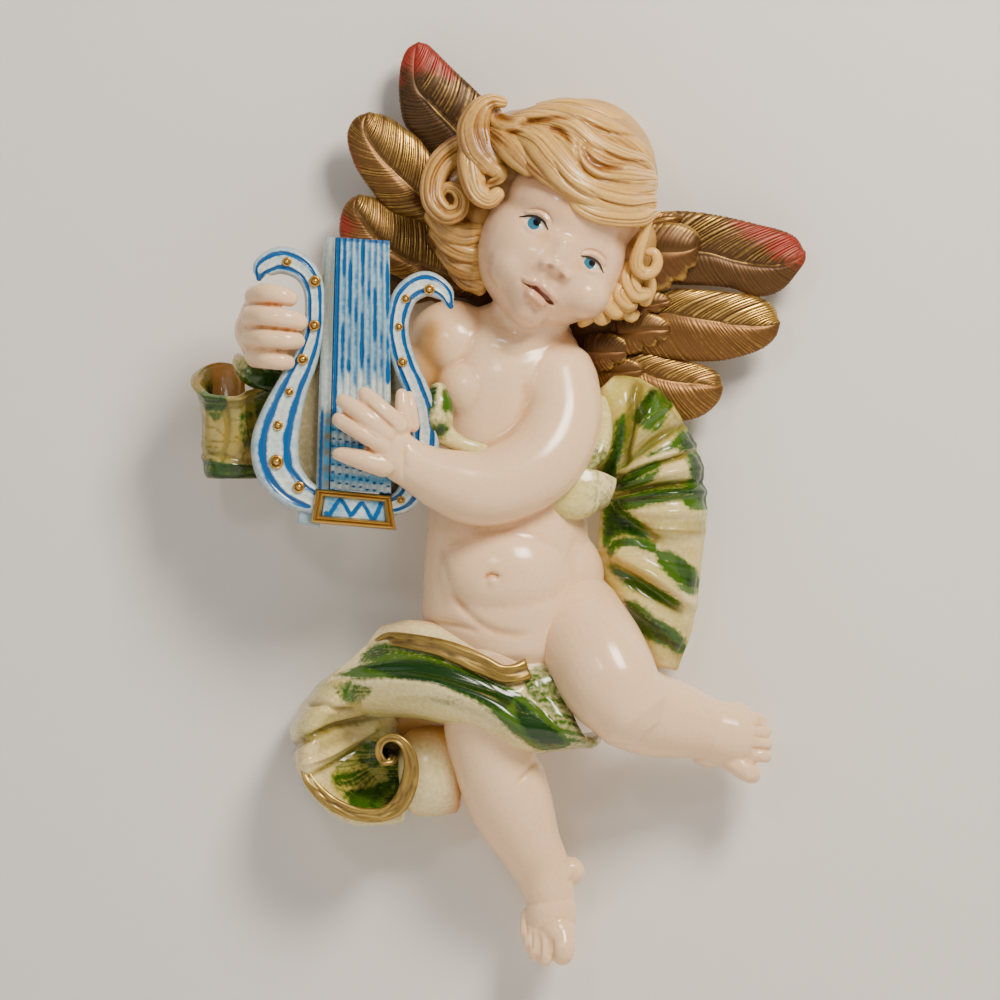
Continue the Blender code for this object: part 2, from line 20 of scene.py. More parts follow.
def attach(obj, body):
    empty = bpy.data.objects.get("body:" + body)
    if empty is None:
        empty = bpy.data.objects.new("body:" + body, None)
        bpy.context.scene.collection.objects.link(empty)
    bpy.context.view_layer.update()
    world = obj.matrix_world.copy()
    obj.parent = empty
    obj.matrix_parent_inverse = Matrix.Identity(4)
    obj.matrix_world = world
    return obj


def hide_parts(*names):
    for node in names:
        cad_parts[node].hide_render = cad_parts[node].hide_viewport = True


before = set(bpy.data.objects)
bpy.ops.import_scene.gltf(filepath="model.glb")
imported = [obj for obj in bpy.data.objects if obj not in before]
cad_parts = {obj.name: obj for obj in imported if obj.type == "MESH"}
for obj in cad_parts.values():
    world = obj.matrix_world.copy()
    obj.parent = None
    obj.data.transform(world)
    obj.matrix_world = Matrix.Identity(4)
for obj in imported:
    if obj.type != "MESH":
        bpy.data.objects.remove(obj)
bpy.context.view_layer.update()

# %% [markdown]
# ## Tools of the bench
#
# A line through given points, lumps and limbs to build flesh from, and a way to read and write a mesh as
# arrays. A smooth cubic line through points is used all over, because the drawing of the figure is a set of
# such lines. It carries any further number of a point along, such as a radius or a width.

# %% Lines, lumps and limbs
MM = 0.001
AT_REST = 0.6  # what stands out less than this lies against the wall and is left unglazed


def place(x, out, z):
    return Vector((x * MM, -out * MM, z * MM))


def through(points, count):
    points = np.array(points, float)
    padded = np.vstack([2 * points[0] - points[1], points, 2 * points[-1] - points[-2]])
    spots = np.linspace(0, len(points) - 1, count)
    first = np.minimum(spots.astype(int), len(points) - 2)
    t = (spots - first)[:, None]
    a, b, c, d = (padded[first + k] for k in range(4))
    return (
        0.5 * (2 * b + (c - a) * t + (2 * a - 5 * b + 4 * c - d) * t ** 2 + (3 * b - a - 3 * c + d) * t ** 3)
    )


def even(points, count):
    """The same line with its samples at even distances."""
    fine = through(points, 30 * len(points))
    run = np.append(0, np.cumsum(np.linalg.norm(np.diff(fine[:, :3], axis=0), axis=1)))
    spots = np.linspace(0, run[-1], count)
    return np.stack([np.interp(spots, run, fine[:, k]) for k in range(fine.shape[1])], axis=1)


def ball(clay, centre, radii, roll=0):
    turned = Euler((0, np.radians(-roll), 0)).to_matrix().to_4x4()
    size = Matrix.Diagonal((radii[0] * MM, radii[1] * MM, radii[2] * MM, 1))
    lump = bmesh.new()
    shape = Matrix.Translation(place(*centre)) @ turned @ size
    bmesh.ops.create_uvsphere(lump, u_segments=40, v_segments=24, radius=1, matrix=shape)
    mesh = bpy.data.meshes.new("lump")
    lump.to_mesh(mesh)
    lump.free()
    clay.from_mesh(mesh)
    bpy.data.meshes.remove(mesh)


def ring_skin(clay, rows):
    """Joins rings of points into a closed skin with two end caps."""
    verts = [[clay.verts.new(place(*p)) for p in row] for row in rows]
    for near, far in zip(verts, verts[1:]):
        for k in range(len(near)):
            n = (k + 1) % len(near)
            clay.faces.new((near[k], near[n], far[n], far[k]))
    clay.faces.new(verts[0][::-1])
    clay.faces.new(verts[-1])


def rounded_ends(line, bulge=1.0):
    """Adds three shrinking rings at each end of a line of (x, out, z, radius)."""
    along = np.gradient(line[:, :3], axis=0)
    along /= np.linalg.norm(along, axis=1)[:, None]
    caps = np.radians((80, 55, 28))
    start = [
        np.append(line[0, :3] - along[0] * line[0, 3] * bulge * np.sin(a), line[0, 3] * np.cos(a))
        for a in caps
    ]
    end = [
        np.append(line[-1, :3] + along[-1] * line[-1, 3] * bulge * np.sin(a), line[-1, 3] * np.cos(a))
        for a in caps
    ]
    along = np.vstack([along[:1]] * 3 + [along] + [along[-1:]] * 3)
    return np.vstack([start, line, end[::-1]]), along


def side_frame(along, facing=None):
    """For each direction of a line, the one that stands out (from the wall, or as facing says) and the one
    across."""
    facing = np.array([[0, 1, 0]]) if facing is None else facing
    outward = facing - along * (along * facing).sum(axis=1)[:, None]
    outward /= np.linalg.norm(outward, axis=1)[:, None]
    return outward, np.cross(along, outward)


def rings_round(line, along, thick, sides):
    """Rings of points round a line of (x, out, z, half width), thick times as deep as they are wide."""
    outward, sideways = side_frame(along)
    turn = np.linspace(0, 2 * np.pi, sides, endpoint=False)[None, :, None]
    radius = line[:, 3, None, None]
    deep = radius * thick * outward[:, None] * np.sin(turn)
    return line[:, None, :3] + deep + radius * sideways[:, None] * np.cos(turn)


def limb(clay, path, thick=1.0, sides=24, per_span=6):
    line, along = rounded_ends(through(path, per_span * (len(path) - 1) + 1))
    ring_skin(clay, rings_round(line, along, thick, sides))


def laid_out(path, step, bulge, least=8, samples=12):
    """Even stations on a path of (x, out, z, half width), with rounded ends, their directions, its length."""
    rough = even(path, samples)
    length = np.linalg.norm(np.diff(rough[:, :3], axis=0), axis=1).sum()
    line, along = rounded_ends(even(path, max(least, int(length / step))), bulge)
    return line, along, length


# %% [markdown]
# ## Melting, and brushes
#
# Lumps of clay that overlap are melted into one skin by a voxel remesh, which also leaves soft fillets
# where a limb meets the trunk, as a mould does. The part behind the wall plane is sliced off. After that,
# brushes push points along their normals: a groove follows a line, a dent or a swelling sits at a spot.
# `hollows` finds the creases, because antiquing wash gathers there.

# %% Meshes as arrays
def read(obj):
    flat = np.empty(len(obj.data.vertices) * 3)
    obj.data.vertices.foreach_get("co", flat)
    return flat.reshape(-1, 3) * (1 / MM, -1 / MM, 1 / MM)


def resting(points):
    return points[:, 1] < AT_REST


def write(obj, points):
    obj.data.vertices.foreach_set("co", (points * (MM, -MM, MM)).ravel())
    obj.data.update()


def normals(obj):
    flat = np.empty(len(obj.data.vertices) * 3)
    obj.data.vertex_normals.foreach_get("vector", flat)
    return flat.reshape(-1, 3) * (1, -1, 1)


def edge_pairs(obj):
    flat = np.empty(len(obj.data.edges) * 2, int)
    obj.data.edges.foreach_get("vertices", flat)
    return flat.reshape(-1, 2)


def spread(values, edges, rounds):
    """Each value moves half-way to the mean of its neighbours, over and over."""
    one = values.reshape(len(values), -1)
    both = np.vstack([edges, edges[:, ::-1]])
    count = np.maximum(np.bincount(both[:, 0], minlength=len(one)), 1)
    for _ in range(rounds):
        mean = [
            np.bincount(both[:, 0], weights=one[both[:, 1], k], minlength=len(one)) / count
            for k in range(one.shape[1])
        ]
        one = 0.5 * one + 0.5 * np.stack(mean, axis=1)
    return one.reshape(values.shape)


def hollows(obj, rounds, depth):
    """1 in creases that are deeper than depth in millimetres, 0 on flat and raised places."""
    points = read(obj)
    sunk = ((spread(points, edge_pairs(obj), rounds) - points) * normals(obj)).sum(axis=1)
    return np.clip(sunk / depth, 0, 1)


def mark(obj, **values):
    """Stores named numbers on the points, for the materials to read."""
    for name, value in values.items():
        layer = obj.data.attributes.get(name) or obj.data.attributes.new(name, "FLOAT", "POINT")
        layer.data.foreach_set("value", np.asarray(value, float))


def shown(name, mesh):
    obj = bpy.data.objects.new(name, mesh)
    bpy.context.scene.collection.objects.link(obj)
    return obj


def as_object(name, clay):
    """A bmesh as an object, with all its faces turned outward."""
    bmesh.ops.recalc_face_normals(clay, faces=clay.faces)
    mesh = bpy.data.meshes.new(name)
    clay.to_mesh(mesh)
    clay.free()
    return shown(name, mesh)


def ring_piece(name, *skins):
    """An object of closed skins, each over its own rings of points, which keep their order."""
    clay = bmesh.new()
    for rings in skins:
        ring_skin(clay, rings)
    return as_object(name, clay)


def melted(name, clay, grid, rounds, wall=0.0):
    """One closed skin over the lumps, on a grid of that size, smoothed and sliced flat at the wall."""
    obj = as_object(name, clay)
    remesh = obj.modifiers.new("Melt", "REMESH")
    remesh.mode, remesh.voxel_size = "VOXEL", grid * MM
    smooth = obj.modifiers.new("Smooth", "SMOOTH")
    smooth.factor, smooth.iterations = 0.5, rounds
    graph = bpy.context.evaluated_depsgraph_get()
    done = bpy.data.meshes.new_from_object(obj.evaluated_get(graph))
    obj.modifiers.clear()
    obj.data = done
    skin = bmesh.new()
    skin.from_mesh(done)
    everything = skin.verts[:] + skin.edges[:] + skin.faces[:]
    cut = bmesh.ops.bisect_plane(
        skin, geom=everything, plane_co=(0, -wall * MM, 0), plane_no=(0, 1, 0), clear_outer=True
    )
    rim = [e for e in cut["geom_cut"] if isinstance(e, bmesh.types.BMEdge)]
    bmesh.ops.contextual_create(skin, geom=rim) if rim else None
    bmesh.ops.holes_fill(skin, edges=[e for e in skin.edges if e.is_boundary], sides=0)
    skin.to_mesh(done)
    skin.free()
    return obj


def refine(obj, inside):
    """Splits the faces near some spots, so that small features are crisp there."""
    points = read(obj)
    chosen = inside(points)
    skin = bmesh.new()
    skin.from_mesh(obj.data)
    edges = [e for e in skin.edges if chosen[e.verts[0].index] and chosen[e.verts[1].index]]
    bmesh.ops.subdivide_edges(skin, edges=edges, cuts=1, use_grid_fill=True)
    skin.to_mesh(obj.data)
    skin.free()


def thinned(obj, keep, spare=None):
    """Merges points until that share of the triangles is left, those that matter least or are spare first."""
    if spare is not None:
        group = obj.vertex_groups.new(name="spare")
        group.add(np.flatnonzero(spare).tolist(), 1.0, "REPLACE")
    fewer = obj.modifiers.new("Fewer", "DECIMATE")
    fewer.ratio = keep
    fewer.vertex_group = "spare" if spare is not None else ""
    mesh = bpy.data.meshes.new_from_object(obj.evaluated_get(bpy.context.evaluated_depsgraph_get()))
    obj.modifiers.clear()
    obj.vertex_groups.clear()
    obj.data = mesh
    return obj


def grid_normals(face):
    """Normals of a grid of points, on the side of the viewer."""
    normal = np.cross(np.gradient(face, axis=0), np.gradient(face, axis=1))
    normal /= np.linalg.norm(normal, axis=2)[:, :, None] + 1e-9
    return normal if normal[:, :, 1].mean() > 0 else -normal


SHEET_KEPT = 0.56  # share of a sheet's triangles that stay
MERGED_WITHIN = 0.004  # millimetres


def two_sided(name, front, behind, **marks):
    """A closed sheet over two grids that meet at their edges. marks: numbers for both, the front first."""
    rows, cols = front.shape[:2]
    index = np.arange(rows * cols).reshape(rows, cols)
    quads = np.stack([index[:-1, :-1], index[1:, :-1], index[1:, 1:], index[:-1, 1:]], axis=-1).reshape(-1, 4)
    points = np.concatenate([front.reshape(-1, 3), behind.reshape(-1, 3)])
    mesh = bpy.data.meshes.new(name)
    faces = np.concatenate([quads, quads[:, ::-1] + index.size])
    mesh.from_pydata((points * (MM, -MM, MM)).tolist(), [], faces.tolist())
    obj = shown(name, mesh)
    mark(obj, behind=np.repeat((0, 1), index.size), **marks)
    skin = bmesh.new()
    skin.from_mesh(mesh)
    bmesh.ops.remove_doubles(skin, verts=skin.verts, dist=MERGED_WITHIN * MM)
    bmesh.ops.recalc_face_normals(skin, faces=skin.faces)
    skin.to_mesh(mesh)
    skin.free()
    # the side against the wall is hardly seen, so its points go first
    spare = np.empty(len(mesh.vertices))
    mesh.attributes["behind"].data.foreach_get("value", spare)
    thinned(obj, SHEET_KEPT, spare > 0.99)
    obj.data.attributes.remove(obj.data.attributes["behind"])
    return obj


# %% Brushes
def bump(distance, width):
    return np.exp(-(distance / width) ** 2)


def off_line(points, path, count=60):
    """Distance in the wall's plane from each point to a drawn line of (x, z), and how far along it is."""
    line = even(np.array([(x, 0, z) for x, z in path], float), count)[:, (0, 2)]
    near, share = np.full(len(points), 1e9), np.zeros(len(points))
    for k, (a, b) in enumerate(zip(line, line[1:])):
        reach = np.clip(((points[:, (0, 2)] - a) @ (b - a)) / ((b - a) @ (b - a)), 0, 1)
        gap = np.linalg.norm(points[:, (0, 2)] - a - reach[:, None] * (b - a), axis=1)
        closer = gap < near
        near[closer] = gap[closer]
        share[closer] = (k + reach[closer]) / (len(line) - 1)
    return near, share


def off_spot(points, spot, squash=(1, 1), roll=0):
    """Distance in the plane of the wall to a spot, or to an egg of those proportions."""
    across, up = points[:, 0] - spot[0], points[:, 2] - spot[1]
    c, s = np.cos(np.radians(roll)), np.sin(np.radians(roll))
    return np.hypot((across * c - up * s) / squash[0], (across * s + up * c) / squash[1])


class Sculpt:
    """A mesh under work. Its brushes act on the side that faces the viewer, above so many millimetres out."""

    def __init__(self, obj, above=0.0):
        self.obj, self.points, self.normals, self.above = obj, read(obj), normals(obj), above
        self.front = np.clip(self.normals[:, 1] * 4 + 0.6, 0, 1)

    def line(self, path, width, height, ends=0.15, above=None):
        """Raises (or with a negative height cuts) a line, fading at its ends."""
        gap, share = off_line(self.points, path)
        fade = np.clip(np.minimum(share, 1 - share) / max(ends, 1e-6), 0, 1) if ends else 1
        self.move(height * bump(gap, width) * fade, above)

    def spot(self, spot, width, height, squash=(1, 1), roll=0):
        self.move(height * bump(off_spot(self.points, spot, squash, roll), width))

    def move(self, amount, above=None):
        height = self.above if above is None else above
        amount = amount * self.front * (self.points[:, 1] > height)
        self.points = self.points + self.normals * amount[:, None]

    def done(self):
        write(self.obj, self.points)
        self.normals = normals(self.obj)


def inside_outline(points, path, soft, count=80):
    """1 inside a closed drawn outline of (x, z), 0 outside, with an edge of that softness in millimetres."""
    closed = list(path) + [path[0]]
    line = through(np.array(closed, float), count)
    x, z = points[:, 0], points[:, 2]
    odd = np.zeros(len(points), bool)
    gap = np.full(len(points), 1e9)
    for a, b in zip(line, line[1:]):
        crosses = (a[1] > z) != (b[1] > z)
        level = (b[0] - a[0]) * (z - a[1]) / (b[1] - a[1] + 1e-12) + a[0]
        odd ^= crosses & (x < level)
        reach = np.clip(((points[:, (0, 2)] - a) @ (b - a)) / ((b - a) @ (b - a) + 1e-12), 0, 1)
        gap = np.minimum(gap, np.linalg.norm(points[:, (0, 2)] - a - reach[:, None] * (b - a), axis=1))
    return np.clip(0.5 + np.where(odd, gap, -gap) / soft, 0, 1)


print("bench ready")

# %% [markdown]
# ## Paints
#
# Every surface is a moulding with hand paint on it, so one kind of material serves: a base colour with slow
# mottling, then layers. A layer covers where its number on the mesh is high, and a streaky noise moves its
# edge, as a half-dry brush does. Wash is thin, so it covers softly. Gold layers are metallic. A fine bump
# keeps the glaze from looking like glass. Sizes of patterns come from millimetres.

# %% Paint materials
def linear(code):
    """An sRGB hex value as linear colour."""
    c = np.array([int(code[k:k + 2], 16) for k in (1, 3, 5)]) / 255
    return (*np.where(c <= 0.04045, c / 12.92, ((c + 0.055) / 1.055) ** 2.4), 1.0)


def add_node(tree, kind, inputs=(), **settings):
    node = tree.nodes.new(kind)
    for key, value in settings.items():
        setattr(node, key, value)
    for socket, value in dict(inputs).items():
        if isinstance(value, bpy.types.NodeSocket):
            tree.links.new(value, node.inputs[socket])
        else:
            node.inputs[socket].default_value = value
    return node


BRUSH_HAIR = 1.6  # millimetres between the streaks that a half-dry brush leaves
GLAZE_BUMP = 0.2  # millimetres


def painted(name, base, shade, layers, gloss=0.24, grain=0.5, mottle=9, bumpy=0.06, metal=0.0):
    """A base with layers: (attribute, hex, softness, edge roughness, metallic, roughness or None).

    grain and mottle are the sizes in millimetres of the glaze's fine bumps and of its slow changes of tone.
    """
    material = bpy.data.materials.new(name)
    material.use_nodes = True
    tree = material.node_tree
    shader = tree.nodes["Principled BSDF"]
    spot = add_node(tree, "ShaderNodeTexCoord").outputs["Object"]
    slow = add_node(tree, "ShaderNodeTexNoise", {"Vector": spot, "Scale": 1 / (mottle * MM), "Detail": 3.0})
    brush = add_node(
        tree, "ShaderNodeTexNoise", {"Vector": spot, "Scale": 1 / (BRUSH_HAIR * MM), "Detail": 4.0}
    )
    fine = add_node(tree, "ShaderNodeTexNoise", {"Vector": spot, "Scale": 1 / (grain * MM), "Detail": 2.0})
    tone = add_node(
        tree, "ShaderNodeMix", {0: slow.outputs[0], 6: linear(base), 7: linear(shade)}, data_type="RGBA"
    )
    colour = tone.outputs[2]
    rough = (
        add_node(tree, "ShaderNodeMath", {0: fine.outputs[0], 1: 0.12, 2: gloss - 0.06},
            operation="MULTIPLY_ADD").outputs[0]
    )
    shine = metal
    for attribute, code, softness, ragged, metallic, roughness in layers:
        value = add_node(tree, "ShaderNodeAttribute", attribute_name=attribute).outputs["Fac"]
        noise = (
            add_node(tree, "ShaderNodeMath", {0: brush.outputs[0], 1: 0.5}, operation="SUBTRACT").outputs[0]
        )
        edge = (
            add_node(tree, "ShaderNodeMath", {0: noise, 1: ragged * 2, 2: value},
                operation="MULTIPLY_ADD").outputs[0]
        )
        cover = (
            add_node(tree, "ShaderNodeMapRange", {0: edge, 1: 0.5 - softness / 2,
                2: 0.5 + softness / 2}).outputs[0]
        )
        colour = (
            add_node(tree, "ShaderNodeMix", {0: cover, 6: colour, 7: linear(code)},
                data_type="RGBA").outputs[2]
        )
        if roughness is not None:
            rough = add_node(tree, "ShaderNodeMix", {0: cover, 2: rough, 3: roughness}).outputs[0]
        if metallic or not isinstance(shine, float):
            shine = add_node(tree, "ShaderNodeMix", {0: cover, 2: shine, 3: float(metallic)}).outputs[0]
    relief = add_node(
        tree, "ShaderNodeBump", {"Height": fine.outputs[0], "Strength": bumpy, "Distance": GLAZE_BUMP * MM}
    )
    wires = {"Base Color": colour, "Roughness": rough, "Metallic": shine, "Normal": relief.outputs[0]}
    for socket, value in wires.items():
        if isinstance(value, bpy.types.NodeSocket):
            tree.links.new(value, shader.inputs[socket])
        else:
            shader.inputs[socket].default_value = value
    return material


def finish_piece(obj, material, node="cherub_figure", angle=60):
    obj.data.materials.clear()
    obj.data.materials.append(material)
    obj.data.shade_smooth()
    obj.data.set_sharp_from_angle(angle=np.radians(angle))
    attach(obj, "root")
    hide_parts(node)
    sides = np.empty(len(obj.data.polygons), int)
    obj.data.polygons.foreach_get("loop_total", sides)
    print(f"{obj.name}: {int((sides - 2).sum())} triangles")


# The back is the bare casting: a dull greyish tan with no glaze.
BARE_BACK = ("back", "#B9A98F", 0.5, 0.05, 0, 0.55)
# Ivory enamel under a clear glaze: small sharp highlights on round forms, thin brown wash left in creases.
FLESH = painted(
    "glazed_flesh_paint", "#F2D2AE", "#EBC59C",
    [("wash", "#BF7A35", 1.0, 0.12, 0, None), ("stain", "#D9993F", 1.2, 0.1, 0, None), BARE_BACK],
    gloss=0.2, mottle=22,
)

# %% [markdown]
# ## Trunk and playing arm
#
# The trunk is a handful of eggs: chest, ribs, belly and hips, with a pouch of belly in front. The arm that
# plays comes forward across it. Making them in one melt gives the soft crease where the arm lies on the
# chest. The navel, the fold under the belly and the creases of fat are brushed in afterwards, since they
# are finer than the lumps.

# %% Trunk
clay = bmesh.new()
limb(
    clay, [(0, 19, -12, 27), (-1, 19, -35, 28), (-1, 19, -60, 28.5), (-1, 19, -80, 30), (0, 19, -98, 32)],
    thick=0.82, sides=40
)
for centre, radii in (
    ((-2, 29, -84), (24.5, 19.5, 20.5)), ((6, 8, -2), (18, 16, 20)), ((-21, 20, -1), (16, 17, 15.5)),
    ((-14, 31, -18), (13, 9, 12)), ((9, 31, -18), (13, 9, 12)), ((19.5, 20, -85), (14.5, 15, 17)),
):
    ball(clay, centre, radii)
limb(clay, [(0, 18, -6, 15), (6, 24, 6, 14.5), (10, 27, 16, 15)])
NEAR_ARM = [
    (16.5, 26, -15, 15.5), (18, 33, -30, 15), (10, 41, -45, 14.6), (-8, 46, -53.3, 13.8),
    (-22, 49, -51, 11.8), (-35, 51.5, -45.5, 8.6),
]
limb(clay, NEAR_ARM)
limb(clay, [(-21, 20, -2, 14), (-48, 16, -20, 12.5), (-70, 20, -12, 10.5), (-86, 32, -2, 8)])
trunk = melted("trunk_and_playing_arm", clay, 1.0, 12)
work = Sculpt(trunk, above=20)
work.line([(-25, -72), (-23, -85), (-17, -96), (-9, -103), (0, -105.5), (9, -105)], 1.5, -0.9)
work.line([(-33, -101), (-22, -102), (-9.5, -105)], 1.2, -0.7)
work.spot((-6.5, -86.4), 3.2, -0.9)
work.done()
work.spot((-6.3, -86.8), 1.7, 1.3)
work.line([(-9.4, -86), (-8, -84.6), (-6.3, -84.2), (-4.6, -84.9), (-3.8, -85.8)], 0.8, -1.3)
work.line([(28, -66), (22, -74), (20, -82)], 1.3, -0.35, ends=0.4)
work.line([(-10, 0), (-4, -3), (2, -5.5), (9, -3.4), (18, -1.5)], 2.2, -0.6, ends=0.3, above=15)
work.line([(4, -9), (5, -20), (4, -32)], 3, -0.7, ends=0.4, above=15)
work.done()
gap, _ = off_line(work.points, [(-28, 4), (-29, -8), (-27, -16), (-30, -24)])
mark(trunk, wash=hollows(trunk, 14, 0.55) * 0.75, stain=0.75 * bump(gap, 4.5), back=resting(work.points))
thinned(trunk, 0.84)
finish_piece(trunk, FLESH)

# %% [markdown]
# ## Head and face
#
# The head leans to the viewer's right and looks down to the left, so its features lie on lines that slope
# by about 35 degrees. It is a doll's face on plain child's proportions: a high round forehead, full cheeks,
# small nose and chin. Large forms first, then the mesh is split where the eyes, nose and mouth go, and
# these are cut with fine brushes: an eye is a shallow almond recess with a lid rolled over it. The
# painter's marks are kept as numbers on the points: iris, pupil, catch-light, lash line, lips, nostrils.

# %% Head
HEAD_LEAN = -29  # degrees
FACE_FRONT = 35  # the features stand out at least so far from the wall
clay = bmesh.new()
for centre, radii in (
    ((15, 32, 31.5), (26.5, 26.5, 27.5)), ((24.5, 28, 53), (26, 28, 30)), ((9, 36, 21), (16, 19, 16)),
    ((2, 43, 26), (10, 13, 10)),
    ((26, 41, 16), (9.5, 12, 9)), ((6.5, 43.5, 10), (6.5, 8, 5.5)), ((20, 40, 46), (22, 18.5, 17)),
):
    ball(clay, centre, radii, HEAD_LEAN)
head = melted("head", clay, 0.85, 22)
EYES = (
    dict(
        upper=[(4.6, 42.9), (7, 43.2), (9.6, 42.6), (11.7, 41.1), (12.9, 39.3)],
        lower=[(12.3, 38.9), (10.4, 38.3), (8.4, 38.4), (6.8, 39.6), (5.4, 41.4)],
        lash=[(3.4, 43.3), (5.2, 43.5), (7.2, 43.7), (9.8, 43.1), (11.9, 41.6), (12.9, 39.9), (13.5, 38.5)],
        lid=[(4.8, 44.6), (7.4, 45.0), (10.4, 44.7), (12.6, 43.0), (13.9, 40.8)],
        crease=[(4.4, 45.2), (6.6, 45.9), (9.4, 46.1), (12.2, 45.1), (14.2, 42.8), (15, 40.4)],
        bag=[(4, 40.6), (5.4, 37.9), (8.4, 36.4), (11.6, 36.6)], iris=(8.5, 41.0, 2.3),
        pupil=(9.6, 41.4, 1.4), glint=(10.9, 40.2, 0.55),
    ),
    dict(
        upper=[(25.8, 28.7), (27.8, 28.5), (30.0, 27.5), (31.7, 26.0), (32.6, 24.2)],
        lower=[(31.8, 24.1), (30, 24.2), (28.2, 24.7), (27.0, 25.9), (26.2, 27.4)],
        lash=[(25.4, 29.3), (27.0, 29.1), (28.8, 28.7), (30.7, 27.7), (32, 26.3), (32.6, 24.9), (33.3, 23.5)],
        lid=[(26, 30.1), (28.6, 30.2), (31.2, 29.2), (33, 27.4), (33.7, 25.4)],
        crease=[(24.8, 30.2), (26.6, 31.2), (29.2, 31.4), (32, 30.4), (34, 28.4), (34.7, 26)],
        bag=[(24.4, 27), (25.4, 24.4), (28, 22.7), (31.4, 21.9)], iris=(28.3, 26.8, 2.05),
        pupil=(29.3, 26.9, 1.2), glint=(30.4, 25.6, 0.48),
    ),
)
EYE_SPOTS = ((9.0, 40.9), (29.3, 26.7))
LIP_EDGE = [
    (3.9, 20.1), (5.8, 19.2), (7.8, 18.7), (9.5, 18.5), (11.2, 16.9), (13.2, 15.3), (14.4, 13.8), (15.7, 12.2)
]
LIP_FOOT = [(15.3, 11.9), (13.9, 12.2), (12.9, 13.2), (11.7, 14.6), (9.8, 16.2), (7.6, 17.5), (5.6, 18.9)]
NOSTRILS = ((14.1, 25.3), (18.1, 22.0))
work = Sculpt(head, 25)
for spot in EYE_SPOTS:
    work.spot(spot, 6.2, -1.9, squash=(1.3, 1), roll=34)
work.line([(19.6, 37), (18.6, 32), (17, 28)], 2.7, 2.2, ends=0.3)
work.spot((9.6, 15.8), 6.6, 2.1, squash=(1.25, 1), roll=38)
work.spot((4.2, 10.4), 5.0, 1.7)
work.spot((2.5, 30), 8.5, 0.9)
work.spot((30.5, 16.5), 7.0, 0.9)
work.done()


def sharpen(inside, rounds=7):
    """Splits the faces at a spot and lets the new points settle into the curve."""
    refine(head, inside)
    points = read(head)
    near = inside(points)[:, None]
    write(head, np.where(near, spread(points, edge_pairs(head), rounds), points))


sharpen(
    lambda p: (np.minimum(off_spot(p, EYE_SPOTS[0]), off_spot(p, EYE_SPOTS[1])) < 8.5)
    & (p[:, 1] > FACE_FRONT)
)
sharpen(lambda p: (off_spot(p, (11.6, 18.6)) < 12.5) & (p[:, 1] > FACE_FRONT))
work = Sculpt(head, FACE_FRONT)
work.spot((16.5, 26.2), 3.7, 2.9)
work.spot((16.3, 25.6), 2.4, 1.1)
for x, z in ((12.3, 26.6), (19.7, 22.2)):
    work.spot((x, z), 1.8, 2.2)
work.line([(10.6, 25.2), (13.6, 23.6), (16.2, 21.6), (18.8, 19.8)], 1.2, -1.1, ends=0.2)
work.line([(9.6, 25.4), (6.4, 23.4), (3.4, 20.6)], 1.5, -0.7, ends=0.3)
work.done()
sharpen(
    lambda p: (np.minimum(off_spot(p, EYE_SPOTS[0]), off_spot(p, EYE_SPOTS[1])) < 6.8)
    & (p[:, 1] > FACE_FRONT)
)
sharpen(
    lambda p: (np.minimum(off_spot(p, (10, 15.6)), off_spot(p, (16, 23.6))) < 7.6) & (p[:, 1] > FACE_FRONT)
)
work = Sculpt(head, FACE_FRONT)
work.line([(3.8, 21.0), (6.2, 20.6), (8.7, 20.2), (10.3, 19.5)], 1.1, 1.05, ends=0.3)
work.line([(9.9, 19.6), (12.2, 18.0), (14.4, 15.7), (16.3, 12.9)], 1.1, 1.05, ends=0.3)
work.line([(5.4, 17.2), (7.8, 15.4), (10.6, 13.2), (12.8, 11.6)], 1.5, 2.1, ends=0.22)
work.line([(5.0, 14.2), (7.6, 12.2), (10.6, 10.0)], 1.2, -1.1, ends=0.3)
work.line([(13.7, 22.4), (11.6, 20.2)], 0.8, -0.45, ends=0.3)
work.done()
sharpen(
    lambda p: (np.minimum(off_spot(p, (8.8, 41.6)), off_spot(p, (29.4, 27.2))) < 5.6)
    & (p[:, 1] > FACE_FRONT), rounds=5
)
sharpen(lambda p: (off_spot(p, (10, 15.4), (1.35, 1), 38) < 4.8) & (p[:, 1] > FACE_FRONT), rounds=5)
work = Sculpt(head, FACE_FRONT)
parted = inside_outline(work.points, LIP_EDGE + LIP_FOOT, 0.5)
work.move(-1.5 * parted)
for x, z in ((3.6, 20.4), (16.0, 11.7)):
    work.spot((x, z), 1.0, -0.5)
for x, z in NOSTRILS:
    work.spot((x, z), 0.85, -1.0, squash=(1.3, 0.8), roll=40)
opening = np.zeros(len(work.points))
for eye, spot in zip(EYES, EYE_SPOTS):
    almond = inside_outline(work.points, eye["upper"] + eye["lower"], 0.4)
    opening = np.maximum(opening, almond)
    work.line(eye["crease"], 0.5, -0.6, ends=0.25)
    work.line(eye["bag"], 0.9, -0.3, ends=0.3)
    work.move(-0.8 * almond + 0.45 * almond * bump(off_spot(work.points, spot), 3))
    work.line(eye["lid"], 0.8, 0.75, ends=0.15)
    work.line([(x - 0.3, z - 0.6) for x, z in eye["lower"]], 0.6, 0.25, ends=0.2)
work.done()


def disc(points, spot, soft=0.16):
    return np.clip(0.5 + (spot[2] - off_spot(points, spot)) / soft, 0, 1)


